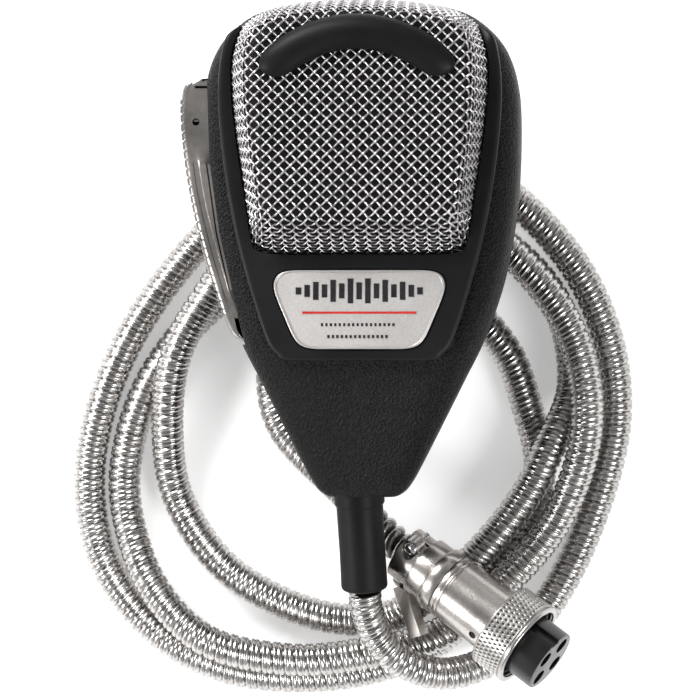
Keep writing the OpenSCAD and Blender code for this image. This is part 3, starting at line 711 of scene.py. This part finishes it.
def badge():
    """A domed plate in a bright rim, with a plain pattern of level bars under its clear coat."""
    mid = np.array([0, -12.3])
    rings = []
    for inset, z in ((0, 27.4), (0, 28.5), (0.12, 28.62), (0.35, 28.66), (0.55, 28.6), (0.6, 28.5)):
        rings.append(at_z(grow(badge_outline, -inset, mid), z))
    rim = loft("badge_rim", rings, M["badge_rim"], caps=False, edge=60)
    rings = []
    for share in np.linspace(0, 1, 9)[:-1]:
        ring = mid + (grow(badge_outline, -0.6, mid) - mid) * (1 - share)
        rings.append(at_z(ring, 28.45 + 0.22 * (1 - (1 - share) ** 3)))
    plate = loft("badge_face", rings, M["badge"], edge=60)
    marks = []
    heights = [1.4, 2.4, 3.6, 2.6, 4.4, 3.0, 5.0, 3.4, 5.0, 3.0, 4.4, 2.6, 3.6, 2.4, 1.4]
    for i, h in enumerate(heights):
        x = (i - 7) * 1.75
        marks.append(block("mark", (x - 0.55, -8.6 - h / 2, 28.4), (x + 0.55, -8.6 + h / 2, 28.72),
                           M["ink"], "housing"))
    marks.append(block("mark", (-11.5, -13.2, 28.4), (11.5, -12.75, 28.715), M["red"], "housing"))
    for row, half in ((-15.4, 7.5), (-17.8, 6.2)):
        for x in np.arange(-half, half + 0.1, 0.9):
            marks.append(block("mark", (x - 0.22, row - 0.3, 28.4), (x + 0.22, row + 0.3, 28.71),
                               M["ink"], "housing"))
    ob = join("badge", [plate, rim, *marks])
    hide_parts("badge_plate")


badge()


def lip_guard():
    """A curved bar over the grille, lower and blunt at its ends."""
    rings = []
    limit = 62
    for a in np.linspace(-limit, limit, 121):
        share = (a / limit) ** 2
        s = math.sqrt(1.005 - (a / limit) ** 12)
        w, h = s * (3.6 + 0.1 * share), s * (3.0 - 1.4 * share)
        ring = []
        for b in np.linspace(0, math.pi, 25):
            r = 18.3 + 2.4 * share + w * math.cos(b)
            ring.append((r * math.sin(math.radians(a)), 24.8 + r * math.cos(math.radians(a)),
                         36.9 + h * math.sin(b)))
        rings.append(ring)
    ob = loft("lip_guard_bar", rings, M["guard"], edge=50)
    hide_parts("lip_guard")


lip_guard()

# ---- woven grille

RIM_Z, TOP_Z = 25, 37
DOME_STEPS = [(0, 0), (0.2, 0.3), (0.45, 0.62), (0.68, 0.84), (0.85, 0.95), (1, 1)]
WIRE_R = 0.23
WIRE_STEP = 0.24
CRIMP = 0.27
SINK = 0.25  # the cloth's middle lies this far below the dome's surface
PITCH = (2.42, 2.33)


class Dome:
    """The grille's surface as heights over a grid, with the lengths along it in X and in Y."""

    STEP = 0.15

    def __init__(self):
        self.x = np.arange(-28, 28.01, self.STEP)
        self.y = np.arange(-3.5, 52.51, self.STEP)
        gx, gy = np.meshgrid(self.x, self.y, indexing="ij")
        v = np.stack([gx, gy], -1) - GRILLE_MID
        angle, dist = np.arctan2(v[..., 1], v[..., 0]), np.hypot(v[..., 0], v[..., 1])
        base = polar(grille_outline, GRILLE_MID, angle)
        top = polar(grille_top, GRILLE_MID, angle)
        f = (base - dist) / (base - top)
        steps = np.array([(-2.0, -3.0), *DOME_STEPS, (50, 1)])
        z = RIM_Z + (TOP_Z - RIM_Z) * np.interp(f, steps[:, 0], steps[:, 1])
        k = np.exp(-0.5 * (np.arange(-6, 7) / 2.6) ** 2)
        k /= k.sum()
        for axis in (0, 1):
            z = np.apply_along_axis(self.blur, axis, z, k)
        self.z, self.share = z, f
        self.zx, self.zy = np.gradient(z, self.STEP, self.STEP)
        self.u = self.along(np.sqrt(1 + self.zx ** 2), 0, 0.0)
        self.v = self.along(np.sqrt(1 + self.zy ** 2), 1, 24.5)
        self.ux, self.uy = np.gradient(self.u, self.STEP, self.STEP)
        self.vx, self.vy = np.gradient(self.v, self.STEP, self.STEP)

    @staticmethod
    def blur(row, kernel):
        return np.convolve(np.pad(row, len(kernel) // 2, "edge"), kernel, "valid")

    def along(self, rate, axis, zero):
        """Length along the surface from the line at zero."""
        mean = (rate + np.roll(rate, 1, axis)) / 2 * self.STEP
        if axis == 0:
            mean[0] = 0
            total = np.cumsum(mean, 0)
            return total - self.pick(total, np.full_like(self.y, zero), self.y)[None]
        mean[:, 0] = 0
        total = np.cumsum(mean, 1)
        return total - self.pick(total, self.x, np.full_like(self.x, zero))[:, None]

    def pick(self, table, x, y):
        """The table's value at x, y, between its four nearest points."""
        i = np.clip((x - self.x[0]) / self.STEP, 0, len(self.x) - 1.001)
        j = np.clip((y - self.y[0]) / self.STEP, 0, len(self.y) - 1.001)
        a, b = i.astype(int), j.astype(int)
        s, t = i - a, j - b
        return (table[a, b] * (1 - s) * (1 - t) + table[a + 1, b] * s * (1 - t)
                + table[a, b + 1] * (1 - s) * t + table[a + 1, b + 1] * s * t)


def woven_wires(dome, sign):
    """Lines of equal u/pitch + sign v/pitch, each crimped over and under the other family."""
    def weave(tables, x, y):
        return dome.pick(tables[0], x, y) / PITCH[0] + sign * dome.pick(tables[1], x, y) / PITCH[1]

    ray = np.linspace(-1, 1, 4001)
    rx = 27.0 * ray
    ry = GRILLE_MID[1] + sign * rx
    inside = dome.pick(dome.share, rx, ry) > -0.06
    rx, ry = rx[inside], ry[inside]
    level = weave((dome.u, dome.v), rx, ry)
    numbers = np.arange(math.ceil(level[0]), math.floor(level[-1]) + 1)
    x0, y0 = np.interp(numbers, level, rx), np.interp(numbers, level, ry)
    runs = []
    for direction in (1, -1):
        x, y = x0.copy(), y0.copy()
        alive = np.ones(len(x), bool)
        track = [(x.copy(), y.copy(), alive.copy())]
        for _ in range(520):
            gx = weave((dome.ux, dome.vx), x, y)
            gy = weave((dome.uy, dome.vy), x, y)
            tx, ty = -gy, gx
            zx, zy = dome.pick(dome.zx, x, y), dome.pick(dome.zy, x, y)
            size = np.sqrt(tx ** 2 + ty ** 2 + (zx * tx + zy * ty) ** 2)
            x = x + direction * WIRE_STEP * tx / size
            y = y + direction * WIRE_STEP * ty / size
            off = weave((dome.u, dome.v), x, y) - numbers
            gg = gx ** 2 + gy ** 2
            x, y = x - off * gx / gg, y - off * gy / gg
            alive = alive & (dome.pick(dome.share, x, y) > -0.05)
            track.append((x.copy(), y.copy(), alive.copy()))
            if not alive.any():
                break
        runs.append(track)
    wires = []
    for k, number in enumerate(numbers):
        ahead = [(t[0][k], t[1][k]) for t in runs[0] if t[2][k]]
        back = [(t[0][k], t[1][k]) for t in runs[1][1:] if t[2][k]]
        line = np.array(back[::-1] + ahead)
        if len(line) < 8:
            continue
        x, y = line[:, 0], line[:, 1]
        other = dome.pick(dome.u, x, y) / PITCH[0] - sign * dome.pick(dome.v, x, y) / PITCH[1]
        normal = np.column_stack([-dome.pick(dome.zx, x, y), -dome.pick(dome.zy, x, y),
                                  np.ones(len(x))])
        normal /= np.linalg.norm(normal, axis=1, keepdims=True)
        lift = sign * CRIMP * np.cos(math.pi * other) * (-1) ** int(number)
        p = np.column_stack([x, y, dome.pick(dome.z, x, y) - SINK]) + normal * lift[:, None]
        wires.append((p, normal))
    return wires


def skirt_wires(sign):
    """The cloth where it turns down over the head's end."""
    step = 0.2
    rim = even(grille_outline, step, closed=True)
    rim = np.roll(rim, -int(np.argmin(np.abs(rim[:, 0]) + (rim[:, 1] < 20) * 99)), axis=0)
    s = np.arange(len(rim)) * step
    s = np.where(s > s[-1] / 2, s - s[-1] - step, s)
    order = np.argsort(s)
    rim, s = rim[order], s[order]
    wires = []
    for number in range(-26, 27):
        v = np.arange(-11.5, 0.8, WIRE_STEP)
        u = (number - sign * v / PITCH[1]) * PITCH[0]
        ok = np.abs(u) < 24
        if ok.sum() < 6:
            continue
        u, v = u[ok], v[ok]
        x, y = np.interp(u, s, rim[:, 0]), np.interp(u, s, rim[:, 1])
        out = np.column_stack([np.interp(u, s, np.gradient(rim[:, 1])),
                               -np.interp(u, s, np.gradient(rim[:, 0]))])
        out /= np.linalg.norm(out, axis=1, keepdims=True)
        if (out[:, 1] < 0).mean() > 0.5:
            out = -out
        normal = np.column_stack([out, np.zeros(len(u))])
        other = u / PITCH[0] - sign * v / PITCH[1]
        lift = sign * CRIMP * np.cos(math.pi * other) * (-1) ** number
        p = np.column_stack([x, y, RIM_Z + v]) + normal * (lift[:, None] - SINK)
        wires.append((p, normal))
    return wires


def grille():
    """The wire cloth as crimped wires, and a dark liner inside its end wall."""
    dome = Dome()
    verts, faces, count, sides = [], [], 0, 6
    a = np.linspace(0, 2 * math.pi, sides, endpoint=False)
    wires = woven_wires(dome, 1) + woven_wires(dome, -1) + skirt_wires(1) + skirt_wires(-1)
    for p, normal in wires:
        way = np.gradient(p, axis=0)
        way /= np.linalg.norm(way, axis=1, keepdims=True)
        side = np.cross(way, normal)
        side /= np.linalg.norm(side, axis=1, keepdims=True)
        up = np.cross(side, way)
        ring = side[:, None] * np.cos(a)[None, :, None] + up[:, None] * np.sin(a)[None, :, None]
        verts.append((p[:, None] + ring * WIRE_R).reshape(-1, 3))
        faces += grid_faces(len(p), sides, count) + cap_faces(len(p), sides, count)
        count += len(p) * sides
    ob = new_object("grille_cloth", np.vstack(verts), faces, M["wire"])
    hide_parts("grille_mesh")
    rim = grow(grille_outline, -1.0, GRILLE_MID)
    rim = rim[rim[:, 1] > 38]
    inner = grow(rim, -0.3, GRILLE_MID)
    low, high = 14.4, 25.4
    rings = [[(*p, low), (*p, high), (*q, high), (*q, low)] for p, q in zip(rim, inner)]
    liner = loft("grille_liner", rings, M["foam"])


grille()

# ---- boot

BOOT = shift(-1.1, BODY_END, 10) @ turn(2.6, "Z") @ turn(103, "X")


def boot():
    profile = [(0.5, -6), (5.2, -6), (5.2, 1.4), (5.05, 1.6), (4.84, 1.72), (4.8, 3), (4.74, 12),
               (4.8, 18.4), *arc(4.0, 19.0, 0.8, 0, 90, 7), (3.4, 19.95), (3.0, 19.6), (0.5, 19.4)]
    ob = lathe("cord_boot", profile, M["rubber"], place=BOOT, around=80)
    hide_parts("strain_relief")


boot()

# ---- talk bar and hang button

BAR_STEP = 0.12
RIB = 1.85
RIB_GROOVE = 0.38
DIMPLE = (-33.7, 25.9, 0)
BAR_TOP = 21.5


def talk_bar():
    """A folded bar: ribs on its outer wall, a rounded front edge and a step along its face."""
    outer = even(smooth(BAR_OUTER, per=12), step=BAR_STEP)
    edge = np.array(BAR_EDGE, float)
    rings, painted_shade = [], []
    for i, (x, y) in enumerate(outer):
        yi = min(34.6, max(-18.6, y))
        inner = np.array([np.interp(-yi, -edge[:, 1], edge[:, 0]) + 1.5, yi])
        span = np.linalg.norm(inner - (x, y))
        way = (inner - (x, y)) / span
        k = min(1.0, span / 4.5)
        ribbed = 30.5 > y > -13
        g = 0.36 if not ribbed or (i * BAR_STEP) % RIB < RIB_GROOVE else 0.0
        step = 0.28 * np.clip((21 - y) / 5, 0, 1) * np.clip((y + 14) / 8, 0, 1)
        low = BAR_TOP - step
        section = [(1.1, 5.45), (0.6, 5.6), (0.36, 6.0), (g, 6.3), (g, 11), (g, 16.8), (g, 20.2),
                   (0.1 + 0.8 * g, 20.7), (0.32 + 0.45 * g, 21.1), (0.7, 21.35), (1.05, 21.46),
                   (1.4, BAR_TOP), (1.75, 21.45), (1.95, low), (2.9, low), (3.15, low + 0.8 * step)]
        section = [(w * k, z) for w, z in section]
        section += [(span - 2.6 * k, low + 0.8 * step), (span - 2.3 * k, low), (span, low),
                    (span, 20.0), (1.9 * k, 20.0), (1.5 * k, 19.6), (1.5 * k, 7.3), (1.9 * k, 6.9),
                    (span, 6.9), (span, 5.45)]
        rings.append([(x + way[0] * w, y + way[1] * w, z) for w, z in section])
        # painted shade: the outer wall is darkened in the colour, most in the rib grooves, half as
        # much at the rounded top edge
        cut = 0.98 if ribbed and g else 0.84
        painted_shade += [cut if 1 <= j <= 8 else 0.5 if j == 9 else 0.0 for j in range(len(section))]
    skin = loft("bar_skin", rings, M["bar"], body="talk_bar", edge=28)
    mark_grooves(skin, painted_shade)
    dimple = lathe("dimple", [(0, 20.3), (0.55, 20.35), (0.72, 21.2), (0.85, 23), (0, 23)], None,
                   None, 32, shift(*DIMPLE))
    carve(skin, [dimple, block("notch", (-33.9, 32.72, 20.9), (-31.2, 33.25, 23))], edge=28)
    # painted shade: the dimple and the notch get a near-black material
    skin.data.materials.append(M["shaded_pit"])
    for face in skin.data.polygons:
        c = face.center / MM
        shaded_pit = math.hypot(c.x - DIMPLE[0], c.y - DIMPLE[1]) < 0.8 and c.z < 21.35
        notch = -33.95 < c.x < -31.15 and 32.7 < c.y < 33.27 and 20.85 < c.z < 21.2
        face.material_index = 1 if shaded_pit or notch else 0
    parts = [skin]
    for z0, z1 in ((5.5, 10.9), (16.1, 20.4)):
        parts.append(lathe("knuckle", [(1.05, z0), (2.4, z0), (2.4, z1), (1.05, z1), (1.05, z0)],
                           M["bar"], "talk_bar", 40, shift(*HINGE, 0)))
        parts.append(block("web", (-35.3, HINGE[1] - 1, z0), (-30.4, HINGE[1] + 1, z1),
                           M["bar"], "talk_bar"))
    parts.append(block("pusher", (-29.6, -9, 11), (-24.9, -6, 16), M["bar"], "talk_bar"))
    ob = join("talk_bar_shell", parts)
    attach(ob, "talk_bar")
    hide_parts("ptt_bar")


talk_bar()


def hang_button():
    profile = [(1.7, -0.05), (4.0, -0.05), (4.0, -2.3), (4.12, -2.58), (4.4, -2.7), (7.5, -2.7)]
    profile += arc(7.55, -3.15, 0.45, 90, 0, 5) + arc(7.3, -4.0, 0.7, 0, -90, 7)
    profile += [(3.4, -4.7), (3.18, -4.62), (3.1, -4.4), (3.1, -2.92), (1.7, -2.92), (1.7, -0.05)]
    ob = lathe("hang_button_turned", profile, M["steel"], around=120, edge=40)
    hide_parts("hang_button")


hang_button()

# ---- connector, along its own Z

PLUG_FRAME = shift(10, -64, 0) @ turn(-36, "Z") @ turn(75, "Y")
JAWS = turn(45, "Z")
ALONG_X = turn(90, "Y")
JAW_R = 5.75
JAW_Z = -2.8
JAW_GAP = 0.32  # half of the gap between the jaw and the saddle
JAW_SCREWS = (-5, 5)
JAW_SCREW_Z = -0.5
CORD_BORE = 3.7
SET_SCREW = shift(0, 0, 20.6) @ turn(226, "Z") @ ALONG_X
SOCKETS = [(4, 0), (0, 4), (-4, 0), (0, -4)]


def plug_piece(ob, node, frame_at=PLUG_FRAME):
    """Puts a finished piece where the connector lies, in place of its CAD node."""
    moved(ob, frame_at)
    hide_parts(node)


def rod(name, r, z0, z1, place=None, around=40):
    """A round cutter or boss."""
    return lathe(name, [(0, z0), (r, z0), (r, z1), (0, z1)], None, None, around, place)


def barrel():
    """The long sleeve with two turned grooves at its rear, and its set screw."""
    profile = [(5.25, 9.05), (6.7, 9.05), (6.92, 9.14), (7.0, 9.4), (7.0, 9.95), (6.74, 10.08),
               (6.74, 10.2), (6.96, 10.32), (7.04, 10.6), (6.96, 10.88), (6.74, 11.0),
               (6.74, 11.12), (7.0, 11.3), (7.0, 25.55), (5.25, 25.55), (5.25, 9.05)]
    ob = lathe("plug_barrel", profile, M["nickel"], around=128)
    carve(ob, [rod("hole", 0.85, 0, 12, SET_SCREW)])
    plug_piece(ob, "connector_barrel")
    screw = lathe("plug_set_screw", [(0, 6.05), (0.8, 6.05), (0.8, 6.55), (0.72, 6.7), (0, 6.7)],
                  M["dark_steel"], around=32)
    carve(screw, [block("slot", (-1.2, -0.16, 6.4), (1.2, 0.16, 8))])
    plug_piece(screw, "set_screw", PLUG_FRAME @ SET_SCREW)


def half_disc(name, x_flat, side, z1):
    """The part of a disc on one side of a flat at x_flat."""
    a0 = math.acos(x_flat * side / JAW_R)
    a = np.linspace(-a0, a0, 40)
    outline = np.column_stack([side * JAW_R * np.cos(a), side * JAW_R * np.sin(a)])
    return prism(name, outline, JAW_Z, z1, M["nickel"], "housing")


def rear_clamp():
    """The rear sleeve with one jaw, the saddle that closes on the cord, and its two screws."""
    places = [shift(0, y, JAW_SCREW_Z) @ ALONG_X for y in JAW_SCREWS]
    profile = [(3.4, 2.0), (6.15, 2.0), (6.42, 2.12), (6.5, 2.4), (6.5, 5.72), (6.4, 5.86),
               (6.4, 5.96), (6.86, 6.03), (7.0, 6.25), (7.0, 8.65), (6.86, 8.9), (5.1, 8.95),
               (3.4, 8.95), (3.4, 2.0)]
    sleeve = lathe("sleeve_tube", profile, M["nickel"], around=128)
    carve(sleeve, [rod("bore", CORD_BORE, -9, 25, around=64)])
    jaw = half_disc("sleeve_jaw", JAW_GAP, 1, 2.4)
    carve(jaw, [rod("boss", 1.8, JAW_GAP, 3.5, m) for m in places], operation="UNION")
    carve(jaw, [rod("bore", CORD_BORE, -9, 9, around=64)])
    rounded(jaw, 0.3)
    moved(jaw, JAWS)
    plug_piece(join("plug_sleeve", [sleeve, jaw]), "connector_sleeve")
    saddle = half_disc("plug_saddle", -JAW_GAP, -1, 1.88)
    carve(saddle, [rod("boss", 1.9, -2.5, -JAW_GAP, m) for m in places], operation="UNION")
    carve(saddle, [rod("bore", CORD_BORE, -9, 9, around=64)]
          + [rod("seat", 1.66, -9, -2.5, m) for m in places])
    rounded(saddle, 0.28)
    plug_piece(saddle, "cord_saddle", PLUG_FRAME @ JAWS)
    heads = []
    for m in places:
        head = lathe("head", [(0, -3.76), (0.8, -3.72), (1.25, -3.5), (1.5, -3.15), (1.5, -2.53),
                              (0.75, -2.52), (0.75, 2.9), (0, 2.9)], M["steel"], around=48)
        carve(head, [block("slot", (-1.6, -0.19, -4.5), (1.6, 0.19, -3.3))])
        heads.append(moved(head, m))
    plug_piece(join("plug_saddle_screws", heads), "saddle_screws", PLUG_FRAME @ JAWS)


def knurled_ring():
    """Short staggered cuts round the ring, a smooth lip in front, and a dark threaded bore."""
    teeth, around, row, first = 58, 464, 1.02, 23.0
    rows = [(7.1, 22.62, 0), (8.85, 22.62, 0), (9.1, 22.74, 0), (9.22, 22.92, 0)]
    rows += [(9.26, z, 1) for z in np.arange(first, 29.13, 0.085)]
    rows += [(9.2, 29.2, 0), (8.98, 29.26, 0), (8.98, 29.4, 0), (9.24, 29.5, 0), (9.3, 29.75, 0),
             (9.3, 30.05, 0), (9.22, 30.28, 0), (9.0, 30.38, 0), (8.4, 30.38, 0), (8.2, 30.25, 0)]
    rows += [(8.12 + 0.22 * abs((2 * z) % 2 - 1), z, 0) for z in np.arange(30.0, 24.4, -0.25)]
    rows += [(8.1, 24.2, 0), (7.1, 24.15, 0), (7.1, 22.62, 0)]
    r, z, cut = np.array(rows).T
    a = np.linspace(0, 2 * math.pi, around, endpoint=False)
    line = np.floor((z - first) / row)
    share = (z - first) / row - line
    dash = np.clip(np.sin(math.pi * np.clip(share, 0, 1)) * 1.9 - 0.55, 0, 1)
    wave = np.cos(teeth * a[None] + math.pi * (line[:, None] % 2))
    depth = cut[:, None] * dash[:, None] * np.clip(wave * 1.6 - 0.2, 0, 1)
    radius = r[:, None] - 0.27 * depth
    verts = np.stack([radius * np.cos(a), radius * np.sin(a),
                      np.broadcast_to(z[:, None], radius.shape)], -1)
    ob = new_object("plug_ring", verts.reshape(-1, 3), grid_faces(len(r), around), M["knurl"],
                    "coupling_ring")
    ob.data.materials.append(M["thread"])
    # painted shade: the knurl's cuts are darkened in the colour by their depth
    mark_grooves(ob, depth)
    inner = len(r) - 5
    for face in ob.data.polygons:
        level = face.vertices[0] // around
        if level >= inner or (r[level] < 8.4 and z[level] < 28.6 and level > 90):
            face.material_index = 1
    sharp(ob, 60)
    plug_piece(ob, "coupling_ring")


def insert():
    """The socket block with four mouths, its keyway, and the four contact tubes."""
    profile = [(0, 24.3), (6.55, 24.3), (6.7, 24.5), (6.7, 35.7), (6.6, 35.93), (6.45, 36.0),
               (0, 36.0)]
    ob = lathe("plug_insert", profile, M["insert"], around=128)
    cutters = [rod("mouth", 1.75, 33.5, 40, shift(x, y, 0)) for x, y in SOCKETS]
    key = block("key", (-7.3, -1, 27), (-5.75, 1, 40))
    moved(key, turn(-37, "Z"))
    carve(ob, cutters + [key])
    ob.data.materials.clear()
    ob.data.materials.append(M["insert"])
    ob.data.materials.append(M["face"])
    for face in ob.data.polygons:
        on_face = face.center.z > 35.98 * MM and face.normal.z > 0.9
        face.material_index = 1 if on_face else 0
    plug_piece(ob, "connector_insert")
    profile = [(0.8, 30), (1.18, 30), (1.18, 33.3), (1.05, 33.45), (0.8, 33.4), (0.8, 30)]
    tubes = [lathe("tube", profile, M["brass"], "housing", 32, shift(x, y, 0)) for x, y in SOCKETS]
    plug_piece(join("plug_contacts", tubes), "connector_contacts")


def anchor_hook():
    """A bent strip below the connector, cut to sit on its barrel and sleeve."""
    place = shift(7.2, -69.4, -0.4) @ turn(90, "X") @ turn(19, "Y") @ turn(38, "Z")
    bar = block("plug_hook", (-1.5, -1.3, 0), (1.5, 1.3, 11.1), M["nickel_dull"], "housing")
    carve(bar, [block("foot", (-1.3, -1.3, 0), (5.2, 1.3, 2.2))], operation="UNION")
    moved(bar, place)
    carve(bar, [rod("seat", 6.55, -6, 6, PLUG_FRAME, around=64),
                rod("seat", 7.05, 5.95, 26, PLUG_FRAME, around=64)])
    rounded(bar, 0.35)
    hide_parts("anchor_hook")


barrel()
rear_clamp()
knurled_ring()
insert()
anchor_hook()

# ---- carried CAD nodes

LOOKS = {
    "windscreen_foam": "foam", "baffle_plate": "inner", "mic_cartridge": "zinc",
    "cartridge_boot": "rubber", "ptt_pivot_pin": "steel", "ptt_return_spring": "steel",
    "ptt_switch": "inner", "switch_plunger": "plunger", "circuit_board": "board",
    "board_screws": "steel", "lead_wires": "wires", "hang_button_screw": "steel",
    "hang_button_nut": "steel", "housing_screws": "dark_steel", "inner_cord_clamp": "steel",
    "inner_clamp_screws": "steel",
}
for node, look in LOOKS.items():
    ob = frame["nodes"][node]
    ob.data.materials.clear()
    ob.data.materials.append(M[look])

# ---- floor and light

FLOOR_HALF = 3000
FLOOR_GLOW = 0.34


def area_light(name, at, to, size, power):
    """A square soft light; places and sizes in metres."""
    light = bpy.data.lights.new(name, "AREA")
    light.shape = "RECTANGLE"
    light.size = light.size_y = size
    light.energy = power
    ob = add(name, light)
    ob.location = at
    ob.rotation_euler = (Vector(to) - Vector(at)).to_track_quat("-Z", "Y").to_euler()


def sky():
    """A white tent: bright at its sides, darker overhead, with a dark card on the right."""
    world = bpy.data.worlds.new("studio")
    bpy.context.scene.world = world
    world.use_nodes = True
    n, link = world.node_tree.nodes, world.node_tree.links.new
    place = n.new("ShaderNodeTexCoord")
    split = n.new("ShaderNodeSeparateXYZ")
    ramp = n.new("ShaderNodeValToRGB")
    stops = [(0.0, 0.75), (0.30, 1.0), (0.55, 0.62), (0.80, 0.30), (0.93, 0.22), (1.0, 0.34)]
    while len(ramp.color_ramp.elements) < len(stops):
        ramp.color_ramp.elements.new(0.5)
    for element, (at, value) in zip(ramp.color_ramp.elements, stops):
        element.position = at
        element.color = (value, value, value, 1)
    link(place.outputs["Generated"], split.inputs[0])
    link(split.outputs["Z"], ramp.inputs["Fac"])
    both = n.new("ShaderNodeMath")
    both.operation = "MULTIPLY"
    for i, (source, limits) in enumerate((("X", (0.25, 0.6, 0, 0.9)), ("Z", (0.2, 0.5, 1, 0)))):
        node = n.new("ShaderNodeMapRange")
        put_range(node, limits)
        link(split.outputs[source], node.inputs["Value"])
        link(node.outputs[0], both.inputs[i])
    card = n.new("ShaderNodeMixRGB")
    put(card, {"Color2": (0.03, 0.03, 0.03, 1)})
    link(both.outputs[0], card.inputs["Fac"])
    link(ramp.outputs["Color"], card.inputs["Color1"])
    link(card.outputs[0], n["Background"].inputs["Color"])
    put(n["Background"], {"Strength": 0.8})


def studio():
    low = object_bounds()[0].z
    corners = [(x * FLOOR_HALF, y * FLOOR_HALF, 0) for x, y in ((-1, -1), (1, -1), (1, 1), (-1, 1))]
    plane = new_object("floor", corners, [(0, 1, 2, 3)], M["floor"], body=None)
    plane.location.z = low - 0.0001
    shader = M["floor"].node_tree.nodes["Principled BSDF"]
    put(shader, {"Emission Color": (1, 1, 1, 1), "Emission Strength": FLOOR_GLOW})
    plane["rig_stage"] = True
    area_light("key", (-0.55, 0.8, 0.65), (0, 0, 0), 0.5, 16)
    area_light("fill", (0.7, -0.55, 0.8), (0, -0.02, 0), 0.5, 9)
    area_light("side", (-0.8, -0.3, 0.5), (0, -0.02, 0), 0.35, 6)
    sky()
    bpy.context.scene.view_settings.view_transform = "Standard"


studio()
